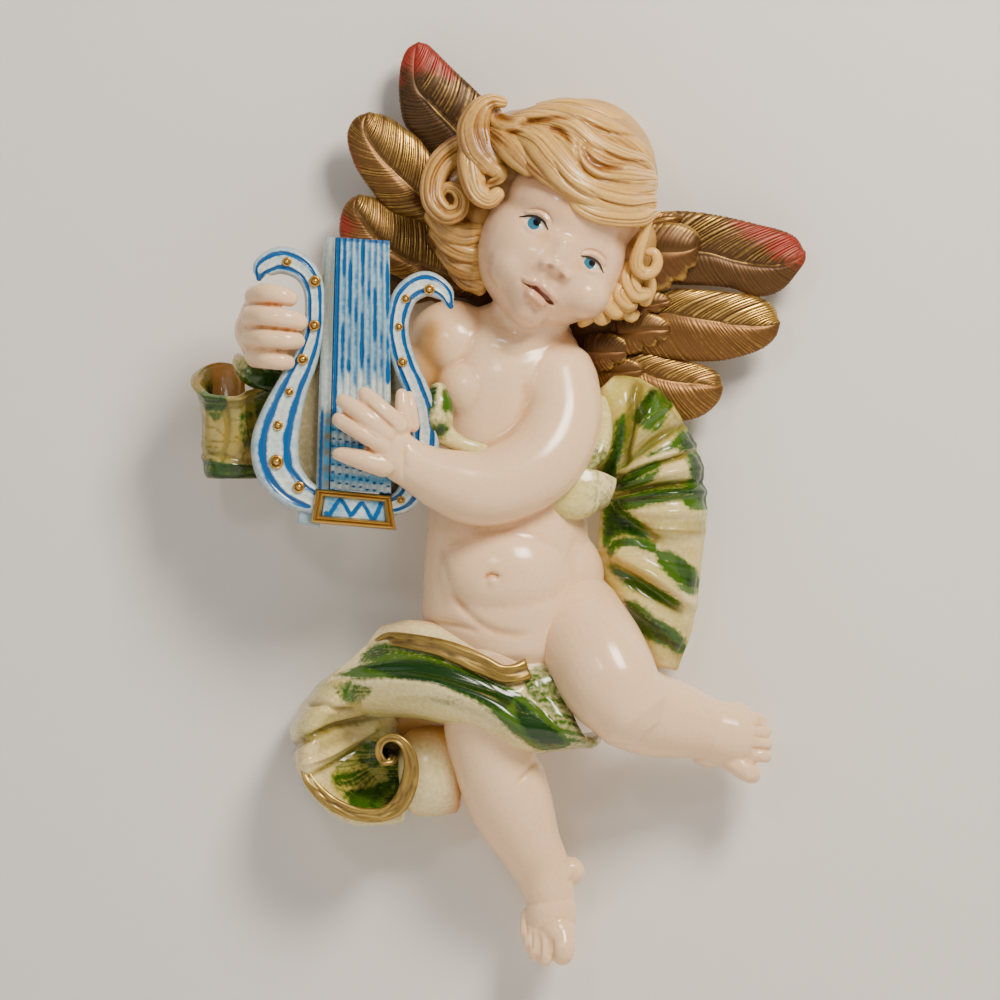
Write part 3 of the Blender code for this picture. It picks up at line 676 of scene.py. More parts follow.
ink = {name: np.zeros(len(work.points)) for name in ("lash", "iris", "pupil", "glint")}
front = work.points[:, 1] > FACE_FRONT
for eye in EYES:
    for name in ("iris", "pupil", "glint"):
        inside = disc(work.points, eye[name]) * (opening > 0.3) * front
        ink[name] = np.maximum(ink[name], inside)
    gap, share = off_line(work.points, eye["lash"])
    wide = 0.1 + 0.42 * np.clip(np.sin(np.pi * np.clip(0.1 + 0.84 * share, 0, 1)), 0, 1) ** 0.8
    ink["lash"] = np.maximum(ink["lash"], np.clip(0.5 + (wide - gap) / 0.2, 0, 1) * front)
slit = inside_outline(work.points, LIP_EDGE + LIP_FOOT, 0.5) * front
lips = bump(off_line(work.points, [(6, 17.2), (8.6, 15.2), (12, 12.4)])[0], 1.7) * front
upper_lip = bump(off_line(work.points, [(5, 20.4), (8.7, 19.8), (12.4, 17.4), (15.6, 13.4)])[0], 1.1) * front
hole = (
    np.maximum(0.85 * bump(off_spot(work.points, NOSTRILS[0]), 0.9),
        0.8 * bump(off_spot(work.points, NOSTRILS[1]), 1.3))
    * front
)
corner = (
    np.maximum(bump(off_spot(work.points, (12.6, 36)), 2.4), 0.8 * bump(off_spot(work.points, (24.8, 26)), 2))
    * front
)
lid_crease_shade = np.maximum.reduce([bump(off_line(work.points, eye["crease"])[0], 0.5) for eye in EYES]) * front
shade_under_lip = bump(off_line(work.points, [(5.8, 14.2), (8.2, 12.5), (10.7, 10.6)])[0], 1.0) * front
brow_shade = (
    bump(off_line(work.points, [(-6, 58), (-1, 63), (7, 60), (14, 55), (24, 48), (34, 43), (46, 42)])[0], 7.0)
    * front
)
shade_under_nose = bump(off_line(work.points, [(10.6, 24.6), (13.6, 23), (16.2, 21.2), (19, 19.6)])[0], 1.3) * front
# Wash gathers in the hollows; on top of it lies painted shade along the lid creases, under the lower lip,
# under the nose and on the brow below the hair.
mark(
    head,
    wash=np.clip(
        hollows(head, 10, 0.7) * 0.45 * (opening < 0.2) + 0.3 * lid_crease_shade + 0.3 * shade_under_lip
        + 0.34 * brow_shade + 0.18 * shade_under_nose,
        0, 1,
    ),
    stain=0.6 * corner,
    white=opening * front, slit=slit, lips=np.maximum(0.55 * lips, 0.4 * upper_lip), hole=hole,
    back=resting(work.points), **ink,
)
# The same glazed enamel, with fine lines painted under the glaze. The eyes are glossier, so they look wet.
FACE = painted(
    "glazed_face_paint", "#EFCFAC", "#E6BF98",
    [
        ("wash", "#C58440", 1.0, 0.1, 0, None), ("stain", "#D9A25A", 1.2, 0.05, 0, None),
        ("lips", "#C4806A", 1.3, 0.08, 0, None),
        ("slit", "#6E3320", 0.8, 0.03, 0, None), ("hole", "#A9705A", 1.0, 0.03, 0, None),
        ("white", "#DCCBB4", 0.5, 0, 0, 0.14),
        ("iris", "#316C88", 0.5, 0.04, 0, 0.12), ("pupil", "#0E0D10", 0.5, 0.0, 0, 0.12),
        ("glint", "#F5F7F7", 0.5, 0, 0, None),
        ("lash", "#241812", 0.5, 0.04, 0, 0.3), BARE_BACK,
    ],
    gloss=0.18, mottle=20, bumpy=0.04,
)
points = read(head)
features = np.minimum.reduce([off_spot(points, spot) for spot in (*EYE_SPOTS, (10, 16), (16.4, 25))])
spare = (features > 9) | (points[:, 1] < FACE_FRONT)
thinned(head, 1 - 0.45 * spare.mean(), spare)
finish_piece(head, FACE)

# %% [markdown]
# ## Legs, feet and hands
#
# One thigh comes forward and its shin runs out to the side; the other leg hangs. Knees, heels and toes are
# lumps and short limbs, melted together. The hands are melted on a finer grid, so that the folds between
# the fingers stay sharp, and nails are brushed on.

# %% Legs
def wash_creases(obj, rounds, depth, strength):
    thinned(obj, 0.55)
    mark(obj, wash=hollows(obj, rounds, depth) * strength, back=resting(read(obj)))


clay = bmesh.new()
limb(clay, [(23, 22, -99, 17), (30, 34, -112, 18.4), (36, 40, -123, 17.8), (41, 41, -130, 15.8)], sides=40)
limb(
    clay, [(42, 38, -131, 15.8), (50, 32, -134.4, 15.2), (59, 27, -136.6, 14), (70, 22, -139.8, 11.4)],
    sides=40
)
limb(clay, [(70, 22, -139.8, 11.2), (79.5, 20, -142.4, 11.6)], sides=32)
for centre, radii in (((82, 18.5, -143), (9, 8, 13)), ((73, 17, -148), (8, 8, 6))):
    ball(clay, centre, radii, 8)
TOES_BENT = (
    [(83, 21, -135.6, 2.7), (89.4, 21, -136.4, 2.4), (90.6, 20, -136.9, 2.2)],
    [(83, 22, -139.8, 2.8), (91, 22, -140.6, 2.4), (92.2, 21, -141, 2.2)],
    [(83, 23, -144.2, 2.9), (91.2, 22.6, -145, 2.5), (92.6, 21.4, -145.6, 2.2)],
    [(83, 23, -148.8, 2.9), (90.8, 22.6, -149.6, 2.6), (92.2, 21.4, -150.2, 2.3)],
    [(79, 23, -150.5, 4.4), (85, 24, -155, 4), (87, 23, -156.4, 3.5)],
)
for path in TOES_BENT:
    limb(clay, path, sides=16)
bent_leg = melted("bent_leg", clay, 0.62, 6)
work = Sculpt(bent_leg)
work.line([(86.4, -138.2), (93.5, -139)], 0.5, -0.5, ends=0.2)
work.line([(86.4, -142.3), (94.5, -143.2)], 0.5, -0.5, ends=0.2)
work.line([(86.2, -146.7), (94.5, -147.6)], 0.5, -0.5, ends=0.2)
work.line([(84.4, -151.2), (90, -153.4)], 0.6, -0.5, ends=0.2)
for x, z in ((90.4, -136.3), (92.2, -140.6), (92.4, -145.2), (92, -149.8), (86.6, -155.8)):
    work.spot((x, z), 1.2, -0.3, squash=(1.1, 1))
    work.line([(x - 1.6, z + 0.9), (x - 1.7, z - 0.9)], 0.4, 0.22, ends=0.2)
work.line([(68, -129.5), (70, -133), (70.5, -137)], 1.4, -0.4, ends=0.4)
work.line([(30, -90.5), (24, -93), (18, -98), (13, -104)], 1.2, -0.3, ends=0.3, above=20)
work.done()
wash_creases(bent_leg, 8, 0.6, 0.9)
finish_piece(bent_leg, FLESH)

clay = bmesh.new()
limb(
    clay,
    [(-6, 24, -116, 18.4), (-7.6, 28, -138, 16.4), (-5.4, 28, -152, 15), (-2, 25.5, -161, 15.4),
        (1.6, 23, -170, 14.6), (6.4, 20, -181, 12),
     (11, 17, -190, 10.4), (14, 16, -199, 9.4)],
    sides=40,
)
for centre, radii, roll in (
    ((14.8, 17, -206.5), (9.3, 8.4, 11.5), 0), ((22, 15, -191.5), (4.9, 5.6, 5.2), 0),
    ((17, 20, -213), (6.6, 7, 6), 0), ((8, 15, -158), (5, 8, 7), 0),
):
    ball(clay, centre, radii, roll)
TOES_HANGING = (
    [(18.6, 23, -214, 4.5), (19.1, 25.4, -219.4, 4.3), (18.9, 24.6, -221.4, 3.8)],
    [(12.9, 22, -214, 3), (12.7, 24.4, -221.6, 2.6), (12.6, 23.6, -223.6, 2.3)],
    [(9.9, 20, -212, 2.7), (9, 22.4, -220, 2.3), (8.8, 21.8, -222, 2)],
    [(7.8, 18, -210, 2.5), (6.8, 20.6, -217, 2.1), (6.6, 20, -218.8, 1.9)],
    [(6.2, 16, -207, 2.3), (5.3, 18.4, -213, 1.9), (5.2, 18, -214.6, 1.7)],
)
for path in TOES_HANGING:
    limb(clay, path, sides=16)
hanging_leg = melted("hanging_leg", clay, 0.62, 6)
work = Sculpt(hanging_leg)
work.line([(1.5, -159), (5, -156.4), (8.5, -152.4), (10, -150)], 1.1, -0.9, ends=0.3)
work.line([(20.4, -196), (22.6, -193), (23, -189.4)], 0.7, -0.5, ends=0.3)
for path in (
    [(15.4, -215.4), (15.6, -223)], [(10.9, -214.6), (10.8, -223)], [(7.9, -212.6), (7.8, -220)],
    [(5.9, -209), (5.9, -215)]
):
    work.line(path, 0.5, -0.5, ends=0.2)
for x, z, size in ((19.2, -221, 2), (12.6, -223.4, 1.3), (8.8, -221.8, 1.1), (6.7, -218.6, 0.9)):
    work.spot((x, z), size, -0.25)
    work.line(
        [(x - size * 0.8, z + size), (x, z + size * 1.3), (x + size * 0.8, z + size)], 0.4, 0.22, ends=0.2
    )
work.done()
wash_creases(hanging_leg, 8, 0.6, 0.9)
finish_piece(hanging_leg, FLESH)

# %% Hands
clay = bmesh.new()
limb(clay, [(-30, 51, -47, 9), (-36, 53, -44.5, 8.6), (-43, 54, -39.5, 8.8)], thick=0.8)
ball(clay, (-43.4, 55, -39), (8.8, 6.4, 10.4))
FINGERS = (
    [(-40, 57.5, -31, 3.9), (-45.5, 60.4, -26, 3.6), (-50, 59, -21.6, 3.2), (-51.6, 58, -20, 2.8)],
    [(-44, 58.5, -34, 3.9), (-50.5, 61, -28.8, 3.5), (-57, 59, -24, 3.1), (-59.4, 57.6, -22.4, 2.7)],
    [(-45, 58.5, -38, 3.9), (-52.5, 61, -33.6, 3.5), (-59, 59, -30, 3.1), (-60.8, 57.6, -29, 2.7)],
    [(-45, 57, -45, 4.6), (-52, 59, -43.4, 3.8), (-59, 57.6, -41.6, 2.9), (-61, 56.8, -41.3, 2.4)],
    [(-37.5, 54, -31, 3.1), (-38.4, 55, -25, 2.7), (-38.6, 54, -20, 2.2)],
    [(-34.8, 52, -31, 2.6), (-35.4, 53, -25, 2.3), (-36, 52, -20.6, 1.9)],
)
for path in FINGERS:
    limb(clay, path, sides=20)
hand = melted("playing_hand", clay, 0.42, 5)
work = Sculpt(hand, above=45)
for a, b in (((-52, -22.6), (-41, -32.4)), ((-60.6, -25.6), (-45, -37)), ((-61, -32), (-46, -42.6))):
    work.line([a, ((a[0] + b[0]) / 2, (a[1] + b[1]) / 2), b], 0.55, -0.5, ends=0.15)
for (x, z), turn in (((-50.9, -20.8), 42), ((-59, -22.9), 35), ((-60.4, -29.4), 28), ((-60.4, -41.2), 8)):
    work.spot((x, z), 1.3, -0.22, squash=(1.3, 0.9), roll=-turn)
work.line([(-36.8, -37), (-37.6, -45), (-37, -52.5)], 1, -0.7, ends=0.25, above=40)
work.done()
wash_creases(hand, 8, 0.35, 1.0)
finish_piece(hand, FLESH)

clay = bmesh.new()
limb(clay, [(-80, 26, 0, 8), (-86, 34, 2, 9.4), (-89, 40, 3, 9.8)])
ball(clay, (-89.6, 41, 3.6), (8, 9, 13))
GRIP = (
    [(-91, 46, 15, 4), (-87, 52, 15.8, 3.9), (-82, 54, 15.2, 3.6), (-78.6, 53, 14.2, 3.1)],
    [(-92, 48, 8, 4.3), (-87, 54.4, 7.8, 4.1), (-80, 56, 7, 3.7), (-75, 54, 5.8, 3.1)],
    [(-92, 47, 0.4, 4.2), (-87, 53.6, 0, 4), (-80, 55, -0.6, 3.6), (-76, 53, -0.9, 3)],
    [(-91, 45, -6.4, 4), (-87, 50.6, -7, 3.9), (-82, 52, -8, 3.4), (-79.4, 50.6, -8.5, 2.8)],
)
for path in GRIP:
    limb(clay, path, sides=20)
grip = melted("gripping_hand", clay, 0.42, 5)
work = Sculpt(grip, above=40)
for path in (
    [(-76.5, 11.4), (-84, 12), (-92, 12.4)], [(-74.6, 2.4), (-84, 3.4), (-92.5, 4.4)],
    [(-77, -4.6), (-84, -4), (-92, -3.4)]
):
    work.line(path, 0.6, -0.6, ends=0.2)
work.done()
wash_creases(grip, 8, 0.35, 1.0)
finish_piece(grip, FLESH)

# %% [markdown]
# ## Hair
#
# The hair is thick locks that sweep from a parting at the left over to the right, a quiff, and rolled curls
# at the temples. A lock is a ribbon along a drawn line, rounded on top, with strands combed into it:
# grooves that run its length, uneven in depth and drifting a little across it. Laying locks over one
# another gives the deep folds, as in the real carving. A plain mass fills the head beneath them. Wash
# settles in the grooves and along the sides of each lock.

# %% Locks
def lock_rows(path, thick, strand, depth, phase, step=0.75, front_points=54, back_points=8, round_about=None):
    """Rings of points of one lock, and how much wash each point holds."""
    line, along, length = laid_out(path, step, 0.8)
    outward, sideways = side_frame(along, None if round_about is None else line[:, :3] - round_about)
    turn = np.append(
        np.linspace(0, np.pi, front_points, endpoint=False), np.linspace(np.pi, 2 * np.pi, back_points,
            endpoint=False)
    )
    rows = len(line)
    s = np.linspace(0, length, rows)[:, None]
    radius = line[:, 3][:, None]
    widest = line[:, 3].max()
    across = np.cos(turn)[None, :]
    rng = np.random.default_rng(int(phase * 10))
    groove = np.zeros((rows, len(turn)))
    for _ in range(int(5.2 * widest / strand)):
        wander = (
            rng.uniform(-0.92, 0.92)
            + rng.uniform(-0.14, 0.14) * np.sin(s / rng.uniform(7, 14) + rng.uniform(0, 6))
        )
        begins = rng.uniform(-0.4, 0.55) * length
        runs = (
            np.clip((s - begins) / 5, 0, 1)
            * np.clip((begins + rng.uniform(0.35, 1.1) * length - s) / 5, 0, 1)
        )
        groove = np.maximum(
            groove,
            rng.uniform(0.3, 1) ** 1.4 * bump((across - wander) * widest, rng.uniform(0.24, 0.46)) * runs,
        )
    swell = 0.32 * np.cos(across * np.pi * max(1, round(widest / 2.6)) + phase)
    fade = np.clip(np.minimum(s, length - s) / 4 + 0.25, 0, 1) * np.clip(radius / 3.4, 0.25, 1)
    cut = (1.35 * depth * groove - swell * (widest > 3)) * fade * np.clip(np.sin(turn) * 3, 0, 1)[None, :]
    r = radius - cut
    points = (
        line[:, None, :3]
        + (r * thick * np.sin(turn)[None, :])[:, :, None] * outward[:, None]
        + (radius * across)[:, :, None] * sideways[:, None]
    )
    side = np.clip((np.abs(across) - 0.72) / 0.28, 0, 1) ** 1.5
    wash = np.clip(groove * 0.75 * fade + side * 0.5, 0, 1)
    return points, wash * np.ones_like(cut)


LOCKS = (  # path of (x, out, z, half width), thickness, strand pitch, groove depth
    # crown, from the parting over the top to the right
    ([(11.4, 33, 80.2, 5.2), (21, 37, 79.8, 6.8), (32, 36, 76, 7.6), (42, 31, 68.2, 7.4),
        (48, 24, 58.4, 4.8)], 0.66, 1.8, 0.5),
    ([(4, 40, 78.4, 3.6), (13.6, 46, 78.6, 5.6), (25.4, 48, 75.6, 6.8), (36.6, 44, 69.8, 7.4),
        (45.6, 35, 63.2, 6.4), (49.4, 25, 55.4, 4.2)], 0.66, 1.7, 0.6),
    ([(0, 43, 77, 3), (9, 49.4, 77.4, 4.6), (20, 53.6, 74.4, 5.6), (29, 54.8, 67.4, 6),
        (38, 51.6, 63.6, 5.4), (46.6, 40.6, 61.6, 4.8), (50.2, 28, 59, 3.2)], 0.66, 1.6, 0.6),
    # the long sweep over the brow
    ([(12, 52, 74, 2.6), (19, 56.4, 70, 4), (24.5, 58.4, 63.5, 5.4), (32, 58, 58, 6.2),
        (41.6, 51.6, 56.4, 6.2), (49.8, 37.4, 56.6, 4.6)], 0.64, 1.6, 0.7),
    ([(1, 46, 75, 3.4), (9, 53, 71, 5.4), (15, 57.4, 64, 6.4), (22, 59.8, 56.4, 6), (31, 58, 51.4, 5.8),
        (41.6, 51.6, 49, 5.8), (49.6, 37.4, 49.8, 4.8)], 0.62, 1.6, 0.7),
    ([(4, 51, 67, 3), (10, 55.4, 61, 3.8), (17, 58, 55.6, 3.6), (24, 58.6, 50.6, 3)], 0.7, 1.8, 0.5),
    ([(20.8, 56, 51.4, 1.8), (24.6, 57.6, 47.2, 3), (31, 57, 44.2, 3.5), (39, 52.6, 43.2, 3.7),
        (46.6, 45, 43.6, 3.6), (50.6, 36, 45.6, 2.8)], 0.85, 2.4, 0.45),
    # parting: dark band from the quiff down to the brow
    ([(-6, 42, 74, 4), (-2, 47, 70.4, 5), (3, 51, 65, 5), (7, 53.6, 60.4, 3.4)], 0.7, 1.9, 0.6),
    # quiff
    ([(-2.4, 42, 84.6, 2), (-6.6, 44, 84.8, 3), (-10.8, 43.4, 81.4, 4.8), (-12.8, 42, 75, 6.4),
        (-11, 43, 68, 6.6), (-7, 45.4, 62.8, 5)], 0.8, 2.0, 0.55),
    ([(-4.8, 40, 81.6, 1.8), (-4.4, 43, 78.4, 3.2), (-1, 46.4, 76.4, 3.6), (4, 48.4, 77, 3),
        (9, 49, 78.4, 2)], 0.8, 2.2, 0.35),
    # temple curl
    ([(-13.4, 40, 72, 4), (-14.2, 42, 65, 4.8), (-13.6, 44, 58.4, 4.8), (-11.6, 45.6, 52.4, 4.2),
        (-7.6, 46.6, 49.6, 3.4), (-4.2, 46.8, 51.8, 2.6)], 0.85, 1.9, 0.55),
    ([(-9.4, 43, 61.6, 2), (-6.6, 46, 61.2, 3), (-3.4, 46.6, 59.2, 2.8), (-4.2, 46.4, 56.9, 2),
        (-6.6, 45.6, 55.8, 1.5), (-8.6, 44.8, 54.4, 1)], 0.85, 2.0, 0.3),
    # big rolled curl at the left
    ([(-8, 26, 71, 5.4), (-16, 31, 69, 5.4), (-23.4, 34, 64.4, 5), (-27.4, 36, 57.4, 4.6),
        (-27.4, 37.6, 49.6, 4.4), (-23, 38.6, 44.8, 4),
      (-18.4, 39, 46, 3.4), (-17.4, 39.4, 50.2, 2.8), (-19.6, 39.4, 53.6, 2.3), (-22.8, 38.8, 54.2, 2),
      (-24.6, 37.6, 52, 1.6)], 0.85, 1.7, 0.65),
    ([(-14, 28, 66, 4), (-20, 31, 60, 4), (-20, 32, 54, 3)], 0.8, 1.8, 0.4),
    # waves down the left side
    ([(-27, 27, 45, 4.4), (-22, 31.6, 40, 5), (-16, 33, 38, 4.8), (-10.6, 32, 38.6, 3)], 0.7, 1.6, 0.5),
    ([(-25.6, 25, 39, 4.2), (-20.6, 30, 34, 5), (-14.6, 31, 31.6, 4.8), (-9.6, 30, 32, 3)], 0.7, 1.6, 0.5),
    ([(-23.4, 23, 32.6, 4), (-18.4, 28, 27.6, 4.8), (-13, 29, 25.4, 4.4), (-9, 28, 26, 2.6)], 0.7, 1.6, 0.5),
    ([(-19.6, 21, 26, 3.4), (-15.2, 25.6, 21.6, 4), (-11, 26.6, 20, 3.2)], 0.7, 1.6, 0.4),
    ([(-15.6, 20, 21.6, 2.6), (-12.8, 24, 19.8, 3), (-10.6, 24.6, 18, 2.4)], 0.8, 1.6, 0.35),
    # right side: a loop by the temple, then fluffy ends below the cheek
    ([(49.4, 40, 42, 1.7), (47.8, 40, 36.6, 2), (46, 39.4, 31.6, 2.3), (45.2, 38, 26.8, 2.6),
        (47.4, 36.4, 23.8, 2.4), (51, 35.6, 24.2, 2.2),
      (52.8, 35.4, 27.6, 2.1), (51.6, 35.6, 31, 1.9), (49, 35.8, 31.2, 1.4)], 0.95, 1.8, 0.3),
    ([(43, 32, 26, 3.2), (42.4, 34, 21, 3.8), (45, 33, 16.6, 3.4), (49, 30, 16.4, 2.4)], 0.85, 1.5, 0.45),
    ([(47, 26, 24, 3.4), (49.6, 27, 19.4, 3.2), (48.4, 26, 14, 2.6)], 0.8, 1.6, 0.4),
    ([(40.6, 32, 20.6, 3), (38.6, 34, 16, 3.4), (41.6, 32.6, 12.4, 2.8), (44.4, 30, 12.4, 1.9)],
        0.85, 1.6, 0.4),
    ([(37.4, 33, 16.6, 2.4), (34.8, 34.6, 13.2, 3), (37.6, 33.4, 9.6, 2.7), (39.8, 31, 10, 1.7)],
        0.85, 1.6, 0.4),
    ([(34.4, 33, 13, 2.2), (31.2, 33.6, 10.2, 2.8), (32.8, 32.4, 7.2, 2.4), (35, 30, 7.4, 1.5)],
        0.85, 1.6, 0.35),
    ([(30.8, 31, 9.4, 2), (27.4, 31.6, 7.2, 2.3), (25.6, 30, 5.6, 1.5)], 0.85, 1.6, 0.3),
    ([(41, 26, 11.6, 2.8), (43.6, 26, 8.6, 2.6), (45.4, 24, 9.6, 1.6)], 0.8, 1.6, 0.3),
)
# out, half width, first and last angle round the head
SIDE_LOCKS = ((29, 6.0, 102, -12), (21, 6.4, 122, -24), (13, 6.6, 108, -32), (5, 6.2, 116, -20))
SKULL = (26, 26, 56)
combed = [lock_rows(*lock, phase=1.7 * index) for index, lock in enumerate(LOCKS)]
for index, (out, wide, start, stop) in enumerate(SIDE_LOCKS):
    angles = np.radians(np.linspace(start, stop, 7))
    girth = np.sqrt(1 - ((out - 26) / 28) ** 2)
    path = [
        (
            SKULL[0] + 24.8 * girth * np.cos(a), out + 1.2 * np.sin(3 * a + index),
            SKULL[2] + 28.6 * girth * np.sin(a),
            wide * (0.55 + 0.45 * np.sin(np.pi * k / 6)),
        )
        for k, a in enumerate(angles)
    ]
    combed.append(
        lock_rows(path, 0.5, 1.7, 0.6, 2.3 * index + 50, step=1.2, front_points=32, back_points=6,
            round_about=SKULL)
    )
locks = ring_piece("hair_locks", *(points for points, _ in combed))
wash = np.concatenate([held.ravel() for _, held in combed])
points = read(locks)
points[:, 1] = np.maximum(points[:, 1], 0.15)
write(locks, points)
DEEP_FOLDS = [  # cut depth, half width, points of x and z: where one lock comes out from under another
    (2.2, 1.2, [(14.6, 74.6), (17.4, 73.8), (19.6, 71.8), (21.2, 69)]),
    (2.4, 1.4, [(26.2, 67.4), (27.8, 63.8), (30.6, 61.6), (34.6, 60.4), (40, 60.6)]),
    (1.6, 1.1, [(3.6, 76.4), (9.6, 77.6), (15.6, 78.6), (22, 78.2)]),
    (2.0, 1.6, [(-6.6, 84.6), (-5.6, 81.6), (-3.4, 79), (0.4, 77.6)]),
    (1.6, 1.0, [(-1.4, 74.2), (1, 73.6), (3.6, 73.6)]),
    (1.6, 1.0, [(-9, 55.4), (-6.4, 55.4), (-3, 57.2)]),
    (1.2, 0.8, [(23.6, 70), (24, 65), (26.6, 59.4), (32, 56.4), (42, 55.4)]),
    (1.0, 0.7, [(15.6, 62), (19.6, 55.8), (25, 51.4), (31, 49)]),
    (1.0, 0.7, [(25.4, 78), (30, 75.4), (36, 73.4), (45, 72.6)]),
    (0.8, 0.6, [(30, 69.4), (36, 65.4), (42, 63.4), (50, 63.4)]),
    (0.9, 0.6, [(28, 52.4), (34, 48.6), (42, 46.8), (49, 47.4)]),
]
work = Sculpt(locks)
dark = np.zeros(len(work.points))
for depth, wide, path in DEEP_FOLDS:
    gap, share = off_line(work.points, path)
    fold = (
        bump(gap, wide) * np.sin(np.pi * np.clip(0.08 + 0.84 * share, 0, 1)) ** 0.5 * (work.points[:, 1] > 30)
    )
    work.points[:, 1] -= depth * fold
    dark = np.maximum(dark, fold * min(1.0, depth * 0.55))
# Darker along a band from the quiff down to the brow, and painted shade over the quiff and over the whole
# left side of the hair.
gap, _ = off_line(work.points, [(-4, 71), (1, 66), (5, 62), (9, 60)])
dark = np.maximum(dark, 0.5 * bump(gap, 4))
dark = np.maximum(dark, 0.7 * bump(off_spot(work.points, (-8, 71)), 9))
dark = np.maximum(dark, 0.3 * (work.points[:, 0] < -13.5))
work.done()
mark(locks, wash=np.clip(wash + 1.1 * dark, 0, 1.2), back=resting(work.points))
# A honey coat with brown wash wiped off its ridges: grooves stay dark, and the crests shine softly.
HAIR = painted(
    "honey_hair_paint", "#E5BC6E", "#D0A052",
    [("wash", "#83511D", 1.1, 0.22, 0, None), BARE_BACK],
    gloss=0.3, mottle=12, bumpy=0.08,
)
thinned(locks, 0.82)
finish_piece(locks, HAIR)

clay = bmesh.new()
for centre, radii in (
    (SKULL, (26, 27, 29.6)), ((2, 22, 63), (18, 19, 21)), ((6, 28, 73), (11, 16, 10)),
    ((-13, 21, 42), (8, 12, 15)),
    ((-12, 20, 28), (6.5, 10, 11)), ((44, 20, 32), (8, 14, 12)), ((43, 20, 20), (7, 12, 9)),
    ((38, 22, 12), (6, 9, 5)),
    ((-20, 24, 56), (8, 11, 11)), ((-11, 34, 66), (6, 8, 9)),
):
    ball(clay, centre, radii, HEAD_LEAN)
hair_mass = melted("hair_mass", clay, 1.3, 8, wall=0.15)
thinned(hair_mass, 0.5)
points = read(hair_mass)
mark(hair_mass, wash=np.full(len(points), 0.55), back=resting(points))
finish_piece(hair_mass, HAIR)

# %% [markdown]
# ## Cloth
#
# The cloth is moulded with the figure, so it is thick and its folds are carved, not draped. Each piece is a
# surface through drawn guide lines, thickest inside and rounded to nothing at its edges, with pleats added
# as relief over it. Brush strokes of green and the gold hems are numbers on the surface, laid out in the
# cloth's own two directions: u runs along the guide lines and v across them, both from 0 to 1. Folds and
# strokes are drawn over it in x and z.

# %% Cloth sheets
def cloth_surface(guides, along, across, relief=None):
    """Points of a surface through guide lines, with its own two directions and its outward normals."""
    lines = np.array([through(guide, along) for guide in guides])
    face = np.array([through(lines[:, k], across) for k in range(along)])
    u, v = np.meshgrid(np.linspace(0, 1, along), np.linspace(0, 1, across), indexing="ij")
    normal = grid_normals(face)
    if relief is not None:
        face = face + normal * relief(u, v)[:, :, None]
    return face, normal, u, v


CLOTH_BEHIND = 0.3  # millimetres from the wall that nothing of the cloth goes beyond


def closed_sheet(name, face, normal, u, v, thick, **marks):
    """A sheet of that thickness, rounded to nothing at its four edges."""
    length = np.linalg.norm(np.diff(face, axis=0), axis=2).sum(axis=0).mean()
    width = np.linalg.norm(np.diff(face, axis=1), axis=2).sum(axis=1).mean()
    gap = np.minimum(np.minimum(u, 1 - u) * length, np.minimum(v, 1 - v) * width)
    half = thick / 2
    swell = half * np.sqrt(np.clip(1 - (1 - np.clip(gap / half, 0, 1)) ** 2, 0, 1))
    sides = [face + normal * swell[:, :, None], face - normal * swell[:, :, None]]
    for side in sides:
        side[:, :, 1] = np.maximum(side[:, :, 1], CLOTH_BEHIND)
    return two_sided(
        name, *sides, **{key: np.tile(np.asarray(values, float).ravel(), 2) for key, values in marks.items()}
    )


def drawn(face, lines):
    """Ridges and valleys drawn on a surface: (height, half width, points of x and z), fading at both ends."""
    flat = face.reshape(-1, 3)
    total = np.zeros(len(flat))
    for height, wide, path in lines:
        gap, share = off_line(flat, path, 30)
        total += height * bump(gap, wide) * np.sin(np.pi * np.clip(0.1 + 0.82 * share, 0, 1)) ** 0.5
    return total.reshape(face.shape[:2])


def brushed(face, strokes, soft=1.6):
    """How thickly paint lies inside drawn outlines, each as (strength, points of x and z)."""
    flat = face.reshape(-1, 3)
    cover = [strong * inside_outline(flat, outline, soft) for strong, outline in strokes]
    return np.maximum.reduce(cover).reshape(face.shape[:2])


def bristles(u, v, fine, slow, seed=1):
    """Streaks that a dry brush leaves: quick changes along u and slow ones along v, from 0 to 1."""
    grid = np.random.default_rng(seed).random((fine + 2, slow + 2))
    a, b = np.clip(u, 0, 1) * fine, np.clip(v, 0, 1) * slow
    i, j = a.astype(int), b.astype(int)
    s, t = a - i, b - j
    near = grid[i, j] * (1 - t) + grid[i, j + 1] * t
    return near * (1 - s) + (grid[i + 1, j] * (1 - t) + grid[i + 1, j + 1] * t) * s


# Cream glaze with greens laid on by a half-dry brush: wet and dark where thick, streaked where thin. The
# gold of the hems is rubbed on, so it is bright on ridges and brown between them.
CLOTH = painted(
    "glazed_cloth_paint", "#F7E9C6", "#EBDCA2",
    [
        ("tint", "#C3BF5E", 1.2, 0.25, 0, None), ("wash", "#5F661E", 1.1, 0.2, 0, None),
        ("rust", "#C08643", 1.2, 0.15, 0, None),
        ("green", "#3A5C10", 0.6, 0.42, 0, 0.18), ("deep", "#12320A", 0.6, 0.4, 0, 0.18),
        ("gilt", "#A98C4A", 0.3, 0.14, 0.9, 0.34),
        ("brown", "#3A2812", 0.9, 0.15, 0.3, 0.4),
        BARE_BACK,
    ],
    gloss=0.2, mottle=10, bumpy=0.05,
)

# %% [markdown]
# ## The swirl of cloth at the right
#
# Pleats fan out from a pinch beside the elbow and end on a full round edge; lower down two long folds run
# to the hip. Ribs from the pinch to the outer edge carry the surface. The folds are uneven, so each ridge
# and valley is drawn where it lies, and so is each stroke of green. The brush was dragged along the pleats,
# so its bristles leave streaks in that direction.

